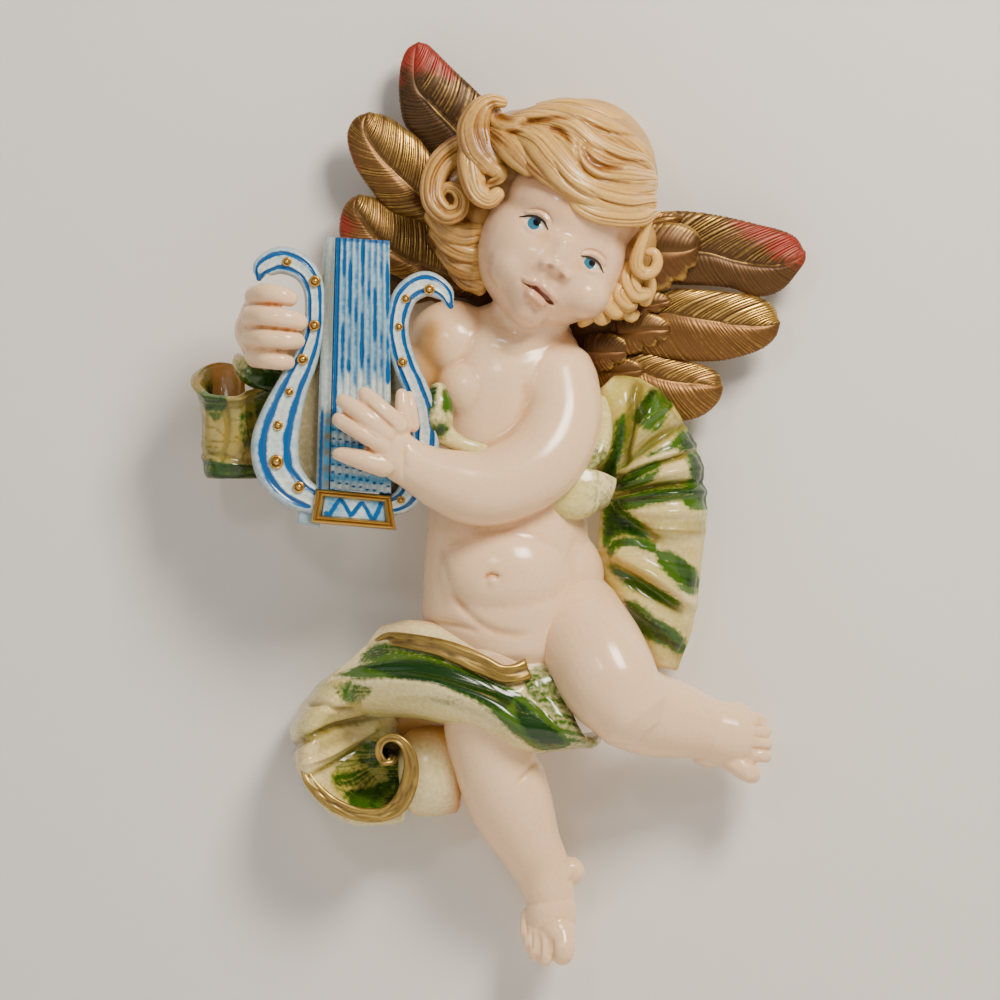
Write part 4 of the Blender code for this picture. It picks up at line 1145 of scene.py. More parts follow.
# %% Swirl
RIBS = [  # inner end, middle, outer shoulder and outer end of each rib
    [(31, 12, -18), (33, 19, -17), (35, 19, -15.8), (36.6, 12, -15)],
    [(31, 16, -36), (38, 24, -27), (43, 22.4, -18), (45, 12, -15)],
    [(31, 17, -44.6), (43, 26, -35), (50.4, 24, -24), (54.2, 12, -21.2)],
    [(33.6, 17, -50), (46, 27, -42), (57, 24.6, -32.4), (60.6, 12, -30)],
    [(35, 17, -53.6), (48, 27.6, -48), (62, 24.6, -41.6), (65.4, 12, -40)],
    [(34.6, 16, -57), (49, 27.6, -54), (64, 24.6, -50.6), (67.6, 12, -49.8)],
    [(33.2, 15, -61), (49, 27.6, -60.6), (64.6, 24.6, -60), (68.2, 12, -60)],
    [(32.6, 14, -66.6), (49, 27, -68), (64.2, 24, -69), (67.8, 12, -69)],
    [(32.4, 14, -74), (47.6, 26, -76), (63, 23, -79), (66.8, 11.6, -80)],
    [(32.8, 15, -81.4), (46.6, 25, -84.6), (61.6, 22, -90), (65.4, 11, -92)],
    [(36.4, 15, -88), (47, 23.4, -93), (59.6, 20, -100.6), (64, 10, -103)],
    [(43, 14, -97), (49.6, 20, -102.6), (57.4, 17, -109.6), (61.4, 9, -112)],
    [(51, 10, -117), (53, 14.6, -118), (56, 13.6, -118.6), (58.4, 8, -118.8)],
]
SWIRL_FOLDS = [
    (-3.0, 1.9, [(45, -19), (44, -32), (41.7, -44.4), (38.5, -51)]),
    (-1.6, 1.6, [(42.5, -44.4), (52.3, -36.3), (63, -30)]),
    (-2.2, 1.4, [(40.9, -49.3), (52.3, -44.4), (67, -40)]),
    (-2.4, 1.2, [(39.2, -55.8), (53.1, -52.6), (69.5, -51.4)]),
    (-3.6, 2.6, [(36.8, -58.5), (41.5, -64.6), (46, -68), (51.6, -70.6)]),
    (-2.4, 2.2, [(37.6, -81), (49, -88.5), (60, -96.6)]),
    (-1.4, 2.6, [(42.5, -94), (51, -103), (60, -113)]), (-2.0, 3.0, [(38, -53), (36, -56), (36, -60)]),
    (1.8, 2.3, [(40.5, -47), (46.5, -34), (51, -22), (53, -16)]),
    (1.8, 1.3, [(40.9, -47.7), (53, -43), (65, -39)]),
    (1.6, 1.8, [(40, -52.5), (53, -48.6), (68, -46)]), (1.9, 1.4, [(38.5, -57.5), (53, -55.6), (70, -54.8)]),
    (1.6, 2.4, [(41, -61), (55, -62), (70, -61.5)]),
    (3.2, 2.3, [(35, -73), (42.5, -78.4), (53, -85), (63, -94.6)]),
    (1.6, 2.2, [(38, -88), (47, -96), (58, -109)]), (1.0, 2.2, [(44, -70), (56, -68.4), (68, -69)]),
    (0.9, 0.9, [(48.5, -30), (56, -25), (60, -25)]),
]
PALE_GREENS = [
    (0.95, [(48.6, -20), (53.4, -18.6), (57.4, -22.4), (55, -29), (52, -33.4), (46.6, -31.5), (44.6, -27.5)]),
    (1.0, [(39, -29), (42, -27), (42.2, -36), (40.5, -45), (38.6, -52), (34, -52.6), (30, -48.5),
        (34, -45.5), (37.6, -40)]),
    (1.0, [(58.6, -33.4), (63.6, -32), (66.4, -38.6), (62, -40.4), (55, -40.4), (50, -42.4),
        (50, -41), (57, -37.4)]),
    (0.9, [(38.6, -50.5), (46, -46.4), (53, -43.6), (53.5, -48.4), (46, -53.6), (39, -54)]),
    (1.0, [(61.5, -41.4), (67, -40.6), (70, -50), (70, -59.8), (63, -60.4), (60, -54.8), (63, -49)]),
    (0.95, [(38, -57.5), (48, -53.8), (58, -53), (68.6, -53.4), (68.4, -58.8), (60, -58),
        (48, -60.4), (40, -62.4)]),
    (1.2, [(36.4, -57.5), (39.6, -60.5), (44, -62), (49.5, -68.4), (50.5, -72.5), (46, -70.6), (40, -71),
        (35.6, -75), (35.4, -66)]),
    (1.0, [(52, -75.4), (58, -76), (64.4, -81.6), (66.2, -88), (64, -91.4), (59.4, -88.4),
        (56, -84), (53, -80.6)]),
    (1.1, [(36.2, -75.6), (40, -71.6), (46, -70.4), (52.4, -73), (51.4, -76), (46, -74),
        (41, -75), (37.6, -78)]),
    (0.85, [(38, -79.6), (44, -83.6), (52, -88), (59.4, -92.6), (60.6, -96), (53, -93.4),
        (44, -88.6), (38.4, -83)]),
    (0.95, [(43, -92.6), (47, -93.4), (53, -99), (60.6, -105.6), (61.2, -111.6), (57.6, -111.4),
        (50, -106), (44.6, -99)]),
]
DEEP_GREENS = [
    (0.9, [(49, -19.5), (51.6, -19.4), (49, -27), (46.4, -31), (44.8, -27.6)]),
    (0.9, [(39.6, -46), (41.6, -40), (42, -31), (40.4, -31), (38.6, -40), (35, -48), (36, -51)]),
    (0.85, [(59.6, -35), (63.4, -33.6), (66, -38), (64, -40), (60, -39.4)]),
    (0.9, [(63, -42), (67.6, -43), (69.6, -50), (69.6, -58.6), (66, -58), (64, -50)]),
    (0.9, [(37, -74.6), (41, -71.8), (47, -71.4), (51, -73.6), (46, -73), (40, -74.4)]),
    (0.95, [(39, -51), (44, -48.4), (48, -47.6), (46, -51), (41, -53.4)]),
    (0.95, [(40, -58), (48, -55), (58, -53.4), (68.4, -53.6), (68, -56.4), (58, -55.4),
        (49, -58.4), (41, -61)]),
    (1.1, [(37, -59), (42, -63.4), (48, -69), (49, -71), (44, -69.6), (39, -69.6), (36.4, -72)]),
    (0.8, [(59, -77.4), (64, -82), (65.4, -88), (62, -88), (58.6, -82)]),
    (0.7, [(47, -95), (54, -101), (60.4, -107.4), (59, -111), (53, -106)]),
]
rib_lines = np.array([through(rib, 5) for rib in RIBS])
face, normal, u, v = cloth_surface([rib_lines[:, k] for k in range(5)], 230, 84)
folds = drawn(face, SWIRL_FOLDS)
combed = bristles(u, v, 150, 5)
middle = np.sin(np.pi * np.clip(v * 1.03, 0, 1)) ** 0.6
lip = bump(v - 0.9, 0.03) * 0.5 - bump(v - 0.84, 0.03) * 0.35
folds = 1.3 * folds
face = face + normal * ((folds + 0.22 * (combed - 0.5)) * middle + lip * (u > 0.08))[:, :, None]
sunk = np.clip(-folds / 1.8, 0, 1)
dry = 0.6 + 0.85 * combed
pale, deep = brushed(face, PALE_GREENS, 2.4), brushed(face, DEEP_GREENS, 3.0)
olive = brushed(face, [
    (0.6, [(44, -66), (56, -66.4), (67, -65.4), (67.6, -69.4), (55, -71.6), (46, -69.4)]),
    (0.5, [(43, -37), (49, -31), (56, -27.6), (59, -29.4), (52, -35.6), (44, -42)]),
    (0.5, [(44, -17), (48, -18), (46, -27), (43, -35), (41.6, -30)]),
], 3.0)
swirl = closed_sheet(
    "swirling_cloth", face, normal, u, v, 5.0, tint=0.5 + 0.7 * bristles(u, v, 60, 3, 2) + 0.3 * sunk
    - 0.3 * bump(v - 0.6, 0.3) + 0.35 * (u < 0.22), wash=olive * (0.5 + combed) + sunk * np.clip(v * 5 - 0.4,
        0, 1) + 0.3 * combed * sunk + 0.3 * bristles(u, v, 34, 4, 15) ** 2,
    green=np.maximum(pale * dry, 0.62 * combed * sunk), deep=deep * (0.3 + 1.0 * bristles(u, v, 120, 4, 41)),
    rust=0.28 * bristles(u, v, 20, 4, 5),
)
finish_piece(swirl, CLOTH)

# %% [markdown]
# ## Cloth under the elbow, and on the breast
#
# A short band comes out from behind the arm with a tuck above it, and a rolled end lies on the breast.

# %% Band, tuck and breast roll
face, normal, u, v = cloth_surface(
    [
        [(2, 30, -50), (12, 36, -47), (22, 36, -46), (31, 34, -47), (37.6, 28, -50)],
        [(3, 33, -55), (13, 38, -54), (23, 38, -53), (31, 35, -53), (37, 29, -54)],
        [(5, 32, -60.6), (14, 35, -61), (23, 35, -61.6), (30, 32, -60), (36, 26, -56.6)],
        [(7, 22, -61.4), (15, 22, -62), (23, 22, -62.6), (29, 18, -61), (35, 14, -58)],
    ],
    90, 40, lambda u, v: 0.7 * np.sin(2 * np.pi * (u * 1.3 + v * 0.8)) * np.sin(np.pi * v),
)
band = closed_sheet(
    "band_under_elbow", face, normal, u, v, 4.2, tint=0.5 + 0.3 * np.sin(5 * u),
    wash=0.5 * bump(v - 1, 0.12) + 0.4 * bump(u, 0.1),
    rust=0.5 * bump(u, 0.2), green=0.55 * bristles(u, v, 30, 8, 31) * bump(u - 0.8, 0.2),
)
finish_piece(band, CLOTH)


def ribbon(name, path, thick, sides=28, bulge=0.8, **marks):
    """A rounded roll along a drawn line. marks are functions of the share along it and of its turn."""
    line, along, _ = laid_out(path, 0.7, bulge, samples=16)
    points = rings_round(line, along, thick, sides)
    points[:, :, 1] = np.maximum(points[:, :, 1], CLOTH_BEHIND)
    obj = ring_piece(name, points)
    s, t = np.meshgrid(
        np.linspace(0, 1, len(line)), np.linspace(0, 2 * np.pi, sides, endpoint=False), indexing="ij"
    )
    mark(obj, **{key: rule(s, t).ravel() for key, rule in marks.items()})
    finish_piece(obj, CLOTH)


ribbon(
    "tuck_above_elbow", [(24, 34, -46.4, 1.6), (28, 35, -44.6, 2.6), (32, 33, -40, 3.4),
        (33.6, 28, -32, 3.4), (33.4, 22, -22, 2.6)], 0.9,
    tint=lambda s, t: 0.6 + 0 * s, green=lambda s, t: 0.55 * bump(s - 0.25, 0.2),
    deep=lambda s, t: 0.4 * bump(s - 0.3, 0.1), wash=lambda s, t: 0.5 * np.cos(t) ** 4,
)
ribbon(
    "breast_cloth", [(-25.6, 41, -18.4, 3.4), (-26, 43.4, -22.4, 5.4), (-25.6, 43.6, -28.6, 5.5),
        (-23.4, 43.4, -33.8, 4.2), (-18, 43, -37.4, 3),
                     (-11, 41.6, -39.4, 2.6), (-4.6, 38, -40.6, 1.8)], 0.9,
    tint=lambda s, t: 0.25 + 0.3 * s, wash=lambda s, t: 0.8 * np.clip(np.abs(np.cos(t)) - 0.75, 0, 1) * 4,
    green=lambda s, t: 1.1 * bump(s - 0.16, 0.13) * np.clip(1.3 - 1.2 * bump(t - 1.5, 0.35), 0, 1)
    + 1.1 * bump(s - 0.4, 0.07) * bump(t - 1.7, 0.9),
    deep=lambda s, t: 1.1 * bump(s - 0.14, 0.1) * bump(t - 2.3, 0.7) + 0.9 * bump(s - 0.4,
        0.04) * bump(t - 1.7, 0.6),
)

# %% [markdown]
# ## Scroll of cloth at the left
#
# Behind the gripping hand the cloth ends in a hollow roll, open at the top. It is one sheet whose guide
# lines wind round the hollow, from the knot behind the hand to the inner end.

# %% Scroll
def winding(level, scale, tilt):
    """The scroll in plan at one height: out along the front, round the left end and back inside."""
    spots = [
        (-80, 24), (-88, 30), (-95, 37), (-101, 39.4), (-107.4, 37), (-111, 30), (-109.6, 22.6), (-104, 19),
        (-98.6, 21.4), (-96.8, 27)
    ]
    line = []
    for x, out in spots:
        line.append((-101 + (x + 101) * scale, 29 + (out - 29) * scale, level + tilt * (29 - out)))
    return line


LEVELS = [
    (-14, 1.18, 0.62), (-16.2, 1.12, 0.58), (-20, 0.96, 0.46), (-28, 0.84, 0.24), (-36, 0.8, 0.12),
    (-42, 0.78, 0.06), (-47, 0.76, 0.02), (-49.6, 0.62, 0)
]
face, normal, u, v = cloth_surface([winding(*level) for level in LEVELS], 150, 60)
folds = drawn(face, [
    (-1.2, 1.3, [(-93, -14), (-94, -28), (-91, -46)]), (-0.9, 1.1, [(-103, -18), (-101, -32), (-103, -44)]),
    (1.0, 1.6, [(-98, -16), (-97, -30), (-97, -46)]),
    (0.7, 0.9, [(-110, -42), (-100, -45), (-86, -47)]),
    (-0.7, 0.9, [(-110, -39.6), (-100, -42.4), (-88, -44)]),
    (0.9, 1.4, [(-108, -16), (-107, -30), (-109, -42)]),
])
combed = bristles(v, u, 40, 6, 21)
face = face + normal * (folds + 0.22 * (combed - 0.5) + 0.8 * bump(v - 0.06, 0.05))[:, :, None]
green = brushed(face, [
    (1.1, [(-93, -20), (-87, -18), (-84, -34), (-84, -48), (-90, -49), (-91, -36)]),
    (1.1, [(-110, -42.4), (-100, -44.6), (-88, -46), (-88, -51), (-100, -50.6), (-108, -48)]),
    (0.9, [(-111, -16), (-104, -18.6), (-101, -22), (-104, -29), (-108, -26)]),
    (0.7, [(-97, -24), (-93, -27), (-92, -38), (-95, -40), (-98, -32)]),
])
outer = u < 0.7
cracks = bump(bristles(v, u, 24, 7, 22) - 0.5, 0.04)
scroll = closed_sheet(
    "cloth_scroll", face, normal, u, v, 2.8, tint=0.3 + 0.5 * bristles(u, v, 12, 5, 23),
    wash=0.56 + 0.5 * bristles(u, v, 8, 6, 25) + 0.5 * cracks + 0.6 * np.clip(-folds, 0, 1)
    + 0.4 * (1 - outer),
    green=green * outer * (0.55 + 0.7 * combed), deep=green * outer * (0.15 + 0.8 * combed),
    rust=0.7 * (1 - outer) + 0.35 * bristles(u, v, 9, 4, 24),
)
finish_piece(scroll, CLOTH)
ribbon(
    "scroll_knot", [(-97.6, 30, -6.4, 1.8), (-96.4, 33, -8.6, 3.4), (-92, 35, -12, 5), (-86, 33, -14, 5),
        (-78, 28, -16, 4)], 0.8,
    tint=lambda s, t: 0.5 + 0 * s, wash=lambda s, t: 0.4 * np.cos(t) ** 4,
    green=lambda s, t: np.clip(1.1 * bump(s - 0.55, 0.3), 0, 1),
    deep=lambda s, t: 0.75 * bump(s - 0.6, 0.28), rust=lambda s, t: 0.8 * bump(s - 0.05, 0.1),
)

# %% [markdown]
# ## Sash over the lap
#
# The sash crosses the lap in one broad band: a plain upper part, a gold hem folded over it, then a full
# fold that carries a dark green stripe along its crest and drops to a lower edge over the hanging thigh.

# %% Sash
SASH = [
    [(-46, 14, -104.4), (-34, 25, -102.4), (-20, 30, -104.6), (-8, 33, -107.4), (3, 33, -108.6),
        (14, 30, -109)],
    [(-48.6, 20, -107.6), (-38, 29.6, -105), (-25, 36, -107.6), (-12, 38.6, -112.6), (1, 38, -117),
        (15, 35, -117)],
    [(-51, 22, -110.4), (-41, 32, -109.6), (-28, 39.6, -111), (-14, 42.6, -116.6), (0, 42.6, -122.6),
        (18, 39, -122)],
    [(-55.6, 24, -115), (-43, 34, -113.6), (-28, 42, -115.4), (-13, 44.6, -121.4), (2, 44.6, -129),
        (21, 39, -130)],
    [(-62, 25, -120.4), (-48, 37.6, -118.4), (-32, 45.6, -119.6), (-14, 48.6, -125.4), (2, 49, -133),
        (24, 41, -138)],
    [(-66, 25, -124.6), (-50, 38, -122.6), (-33, 46.4, -124), (-14, 50, -129.6), (5, 50, -138.4),
        (27, 40, -142)],
    [(-66, 22, -129), (-50, 32.6, -128.6), (-33, 40.6, -129.6), (-14, 45, -134), (6, 45.6, -142.4),
        (31, 35, -144.6)],
    [(-62, 14, -133), (-48, 22, -133.4), (-32, 29, -134), (-14, 35, -138), (7, 37, -145.6), (33, 27, -143.4)],
    [(-60, 6, -134), (-46, 10, -134), (-30, 14, -134.6), (-14, 20, -138.6), (7, 24, -145), (33, 18, -142.8)],
]


SASH_GREENS = [
    (0.85, [(-52, -114), (-46, -110.5), (-36, -110.4), (-24, -113.4), (-24, -117), (-34, -116.5),
        (-44, -117), (-53, -119.5)]),
    (1.2, [(-62, -122), (-46, -116.4), (-36, -115.2), (-28, -115.6), (-18, -118.4), (-8, -122), (2, -126.4),
        (9, -132.4), (17, -139), (21, -143.6),
            (11, -145), (3, -140.4), (-4, -134.6), (-11, -130), (-20, -126), (-30, -122.4),
            (-44, -121.4), (-54, -122)]),
    (0.75, [(4, -120.5), (12, -118.5), (18, -126), (24, -136), (27, -142), (20, -143),
        (14, -136), (6, -128)]),
    (0.8, [(-62, -125.4), (-54, -122.6), (-48, -124.6), (-54, -128.6), (-60, -129.4)]),
    (0.5, [(24, -140), (34, -140), (32, -146), (14, -146.5), (8, -144)]),
    (0.5, [(-30, -126), (-20, -127), (-16, -129.6), (-24, -128.6)]),
]
SASH_DEEP = [
    (1.0, [(-53, -118.8), (-40, -116.4), (-30, -116.4), (-19, -119.4), (-9, -123), (1, -128), (-3, -133),
        (-14, -128.2), (-26, -123.6), (-38, -121.6)]),
    (1.0, [(1, -130), (9, -135.6), (18, -141.6), (18, -143.4), (10, -142.6), (2, -136)]),
    (0.7, [(-50, -113.4), (-44, -111.4), (-40, -113), (-48, -116)]),
    (0.6, [(20, -130), (24, -136), (26, -141), (21, -139)]),
]
SASH_FOLDS = [
    (1.0, 1.5, [(-64, -125), (-46, -122.3), (-32, -122.2), (-18, -126.2), (-6, -131.4),
        (4, -138.6), (12, -145)]),
    (-1.0, 1.3, [(-56, -121), (-44, -119.8), (-30, -119.8), (-18, -123), (-6, -127.6), (5, -134)]),
    (-1.6, 1.6, [(-50, -112), (-40, -111.6), (-28, -113.6), (-15, -118.4), (-3, -123.4), (6, -123.4)]),
    (1.2, 2.2, [(8, -124), (14, -131), (22, -141)]), (-0.8, 1.2, [(5, -127), (11, -134), (18, -141)]),
    (0.8, 1.6, [(-36, -104), (-20, -106), (-4, -110), (10, -112)]),
    (-0.6, 1.2, [(-40, -127.6), (-24, -128.4), (-8, -134), (0, -141)]),
]
face, normal, u, v = cloth_surface(SASH, 170, 110)
folds = drawn(face, SASH_FOLDS)
combed = bristles(v, u, 90, 6, 3)
face = face + normal * (folds + 0.16 * (combed - 0.5))[:, :, None]
sunk = np.clip(-folds / 1.2, 0, 1)
pale, deep = brushed(face, SASH_GREENS), brushed(face, SASH_DEEP, 1.8)
low = np.clip((v - 0.72) * 6, 0, 1)
sash = closed_sheet(
    "sash", face, normal, u, v, 4.4, tint=0.1 + 0.35 * bristles(v, u, 30, 5, 8) * (v > 0.3) + 0.3 * low,
    wash=0.55 * sunk + 0.3 * bump(u - 1, 0.08) * (v > 0.3),
    green=pale * (0.62 + 0.6 * combed), deep=deep * (0.6 + 0.6 * combed), rust=0.6 * bump(v - 0.02, 0.05)
    + 0.3 * (v < 0.3) * bristles(u, v, 9, 5, 6),
)
finish_piece(sash, CLOTH)


def gold_band(name, path, cells):
    """A flat gilt band along (x, out, z, half width), facing the viewer, with low ridges and dark streaks."""
    line = even(path, cells)
    along = np.gradient(line[:, :3], axis=0)
    along[:, 1] *= 0.3
    along /= np.linalg.norm(along, axis=1)[:, None]
    _, sideways = side_frame(along)
    guides = []
    for share in np.linspace(-1, 1, 5):
        lifted = line[:, :3] + sideways * (line[:, 3] * share)[:, None]
        lifted[:, 1] += 0.5 * (1 - share ** 2)
        guides.append(lifted)
    face = np.array([through(row, 17) for row in np.array(guides).transpose(1, 0, 2)])
    u, v = np.meshgrid(np.linspace(0, 1, cells), np.linspace(0, 1, 17), indexing="ij")
    normal = grid_normals(face)
    normal *= np.sign(normal[:, :, 1:2] + 1e-9)
    streak = bristles(v, u, 13, cells // 7, 4)
    ridges = (
        0.3 * bump(v - 0.2, 0.13)
        + 0.3 * bump(v - 0.8, 0.12)
        - 0.2 * bump(v - 0.55, 0.08)
        + 0.4 * (streak - 0.5)
    )
    face = face + normal * ridges[:, :, None]
    worn = np.clip(1.15 - ridges * 1.5 - 1.5 * streak, 0, 1) * 0.75
    finish_piece(closed_sheet(name, face, normal, u, v, 1.7, brown=worn, gilt=1 + 0 * u), CLOTH)


gold_band(
    "gold_hem", [(-47.4, 25, -109.4, 2.2), (-44, 29.6, -108, 2.8), (-40, 33.6, -107.8, 2.8),
        (-33, 38.6, -108.8, 3.0), (-24, 42.6, -110.8, 3.4), (-16, 44.6, -113.8, 3.7),
                 (-9.3, 45.8, -117, 3.7), (-3, 46, -119.6, 3.3), (2, 45.4, -119.4, 3.4),
                 (6.6, 43.8, -117.8, 3.8)],
    110,
)

# %% [markdown]
# ## The bell and roll of cloth at the lower left
#
# Past the hip the sash turns down and round into a bell with a gold rim, green inside. Its end rolls up
# like a scroll against the hanging leg. The bell is one sheet that goes over the rim and into the hollow;
# the roll is a thick tube of cloth with a gold edge that winds into it.

# %% Bell and roll
BELL = [
    [(-50, 6, -112), (-64, 6, -122), (-75.4, 6, -134), (-77.6, 6, -148), (-71.4, 6, -162), (-58, 6, -173),
        (-38, 6, -173)],
    [(-49, 16, -112), (-63, 17, -121.8), (-74.4, 18, -133.6), (-77, 20, -147.4), (-71.4, 22, -161.6),
        (-57.6, 22, -172.8), (-38, 20, -172.8)],
    [(-49, 25, -113), (-60, 27, -121.5), (-71, 29, -132.8), (-74.6, 31.6, -147), (-70.6, 32.6, -160.4),
        (-57.4, 32.6, -171.4), (-38, 30, -171.6)],
    [(-48, 33, -117.6), (-57, 34, -124), (-66.4, 33.6, -133), (-71, 32.6, -147), (-68, 31, -158.6),
        (-56.6, 30, -168.4), (-38, 27.6, -169)],
    [(-46, 33, -123), (-53, 31.6, -127), (-62, 28, -136), (-66.6, 25, -149), (-64, 23, -157.6),
        (-54.6, 21.6, -165.6), (-38, 20, -166)],
    [(-44, 28, -129), (-49, 24, -133), (-55.6, 19, -140.6), (-60, 19, -150), (-58.6, 18, -157),
        (-51.6, 17, -163), (-38, 16, -163.4)],
    [(-42, 22, -134), (-45, 18, -138), (-48, 15, -143.6), (-50.6, 14, -149.6), (-50, 13, -153.6),
        (-46.6, 13, -157), (-38, 14, -157.4)],
    [(-40, 14, -139), (-41, 15, -143), (-42, 16, -147), (-42, 17, -150), (-41.4, 18, -153.6),
        (-40, 18, -156.4), (-37, 20, -157)],
    [(-36, 12, -144), (-35.6, 16, -146), (-35.2, 20, -149), (-35, 24, -151), (-35, 26, -153.6),
        (-35, 26, -155.4), (-35, 26, -156.6)],
]
BELL_FOLDS = [
    (-2.8, 1.3, [(-78, -147), (-66, -139.5), (-55, -136.5), (-42, -133.5)]),
    (-1.6, 0.9, [(-71, -132), (-64, -131.4), (-57, -131.8)]),
    (1.8, 1.1, [(-74.5, -153), (-62, -146.5), (-49, -139.5)]),
    (1.4, 2.0, [(-77, -141), (-68, -134), (-60, -129), (-47, -128)]),
    (1.0, 1.8, [(-70, -126), (-60, -124), (-50, -124)]), (-1.3, 1.1, [(-73, -157), (-62, -151), (-52, -144)]),
    (0.6, 0.9, [(-60, -166), (-52, -158), (-46, -152)]), (0.5, 0.8, [(-52, -168), (-47, -160), (-43, -154)]),
]
MOUTH = [
    (-66, -157.6), (-62, -150.5), (-54, -144.8), (-47.4, -141.6), (-45, -149), (-40, -153.5), (-37.6, -158),
    (-38, -166), (-46, -170), (-56, -169.4), (-63, -164.4)
]
MOUTH_STROKES = [
    (1.1, [(-58, -148), (-49, -143.6), (-43.4, -149), (-48, -154.6), (-55, -152.4)]),
    (1.0, [(-64.6, -155), (-51, -155), (-51.6, -161), (-64, -161.6)]),
    (1.2, [(-62.6, -162.6), (-50, -161), (-37, -156), (-37, -167), (-46, -170), (-56, -169.6)]),
    (1.3, [(-45, -152.6), (-36.6, -153), (-36.6, -166), (-41, -164)]),
]
face, normal, u, v = cloth_surface(BELL, 170, 120)
folds = drawn(face, BELL_FOLDS)
combed = bristles(u, v, 90, 4, 7)
face = face + normal * (folds + 0.2 * (combed - 0.5))[:, :, None]
mouth = brushed(face, [(1.0, MOUTH)], 1.5)
strokes = brushed(face, MOUTH_STROKES, 2.6)
tails = brushed(face, [
    (0.75, [(-63, -125.4), (-54, -121.6), (-47, -123.6), (-52, -128.6), (-60, -129.4)]),
    (1.0, [(-58, -118.8), (-50, -115), (-44, -116), (-46, -122), (-56, -122.2)]),
    (0.8, [(-54, -114), (-46, -109.5), (-42, -112), (-44, -117), (-54, -118.6)]),
])
cracks = bump(bristles(u, v, 70, 9, 12) - 0.5, 0.035)
sunk = np.clip(-folds / 1.1, 0, 1)
# The wash deepens at the inner end of the bell, by the roll, as painted shadow under the sash.
bell = closed_sheet(
    "bell_of_cloth", face, normal, u, v, 3.0, tint=0.2 + 0.6 * bristles(u, v, 14, 5, 9) + 0.6 * mouth,
    wash=0.9 * sunk + 0.4 * mouth * (1 - combed) + 0.3 * cracks + 1.2 * bump(v - 1, 0.06),
    green=np.maximum(np.maximum(mouth * (0.1 + 0.7 * bristles(u, v, 60, 3, 10)),
        strokes * (0.3 + 0.8 * bristles(u, v, 60, 3, 10))), tails * (0.5 + 0.8 * bristles(v, u, 90, 6, 3))),
    deep=strokes * 0.7 * bristles(u, v, 40, 4, 11) + 0.5 * tails * bristles(v, u, 90, 6, 3),
    rust=0.3 * bristles(u, v, 12, 6, 14),
)
finish_piece(bell, CLOTH)
ribbon(
    "cloth_roll", [(-36.6, 15, -156, 14.6), (-34, 15.4, -155.8, 16), (-31, 15.6, -155.4, 16.6),
        (-28, 15.6, -155, 16.9), (-22, 15, -154, 16.6)], 0.95, sides=60, bulge=0.2,
    tint=lambda s, t: 0.1 + 0 * s, wash=lambda s, t: 0.5 * bump(s, 0.1) + 0.9 * bump(np.cos(t) - 1, 0.3),
    rust=lambda s, t: 1.1 * bump(s - 1, 0.22) + 0.9 * bump(np.cos(t) - 1, 0.5)
    + 0.5 * bump(np.cos(t) + 1, 0.15),
)
CURL = [
    (-74, 31.5, -153, 0.8), (-71.8, 33, -158.4, 2.0), (-67, 34, -163.8, 2.4), (-60.8, 34.6, -168, 2.5),
    (-53, 35, -170.4, 2.5), (-45.4, 35.2, -170.2, 2.7),
    (-39.6, 35.6, -166.6, 3.1), (-36.6, 36, -160.4, 3.2), (-35.4, 36.4, -153.2, 2.8),
    (-36.4, 36.6, -147.4, 2.1), (-39.4, 36.6, -143.8, 1.5), (-43, 36, -142.8, 1.1),
    (-46.2, 35, -144.6, 1.0), (-47, 33.6, -148.4, 1.0), (-45.2, 32.4, -151.4, 1.0),
    (-42.6, 31.4, -151.2, 0.9), (-41.6, 30.6, -149.2, 0.6),
]
gold_band("gold_rim", CURL, 200)
walls = [[(x, max(out - back, 4), z) for x, out, z, _ in CURL[8:]] for back in (0.6, 6, 14, 24)]
face, normal, u, v = cloth_surface(walls, 110, 24)
# Browner and darker towards the back of the curl: painted shadow inside it.
curl = closed_sheet(
    "curled_end", face, normal, u, v, 1.8, tint=0.5 + 0 * u, wash=0.25 + 0.8 * v,
    brown=1.1 * np.clip(v * 1.4 - 0.3, 0, 1), green=0.5 * bristles(u, v, 30, 3, 13),
)
finish_piece(curl, CLOTH)
ribbon(
    "fold_behind_roll", [(-60, 6, -136, 9), (-42, 9, -134.6, 11), (-22, 12, -136.4, 12)], 0.8,
    tint=lambda s, t: 0.6 + 0 * s, wash=lambda s, t: 0.7 * (np.sin(t) > -0.3),
    rust=lambda s, t: 0.9 * (np.sin(t) > -0.3),
)

# %% [markdown]
# ## The lyre
#
# The lyre is flat-backed and moulded in low relief. Two curved arms have a rounded rim, two blue lines
# painted in shallow grooves and a hollow middle. One cross-section swept along each arm gives all of that.
# Turned gold pegs sit along the arms. The string board is a fluted plate, painted blue in its grooves, and
# the base is a box with a gold frame round a zigzag panel.

# %% Lyre paint and the section sweep
# Cool white glaze. The blue lines are thick and wet, the beige wash is thin and dull, the pegs are gilt.
LYRE = painted(
    "glazed_lyre_paint", "#ECF0E8", "#C9DCDD",
    [
        ("wash", "#857A54", 1.0, 0.25, 0, None), ("sky", "#4A93BC", 0.9, 0.35, 0, None),
        ("blue", "#0C5694", 0.42, 0.2, 0, 0.16),
        ("gilt", "#D2AC62", 0.3, 0.05, 1, 0.3), ("brown", "#5A3F1E", 0.9, 0.1, 0, None), BARE_BACK,
    ],
    gloss=0.2, mottle=8, grain=0.4,
)


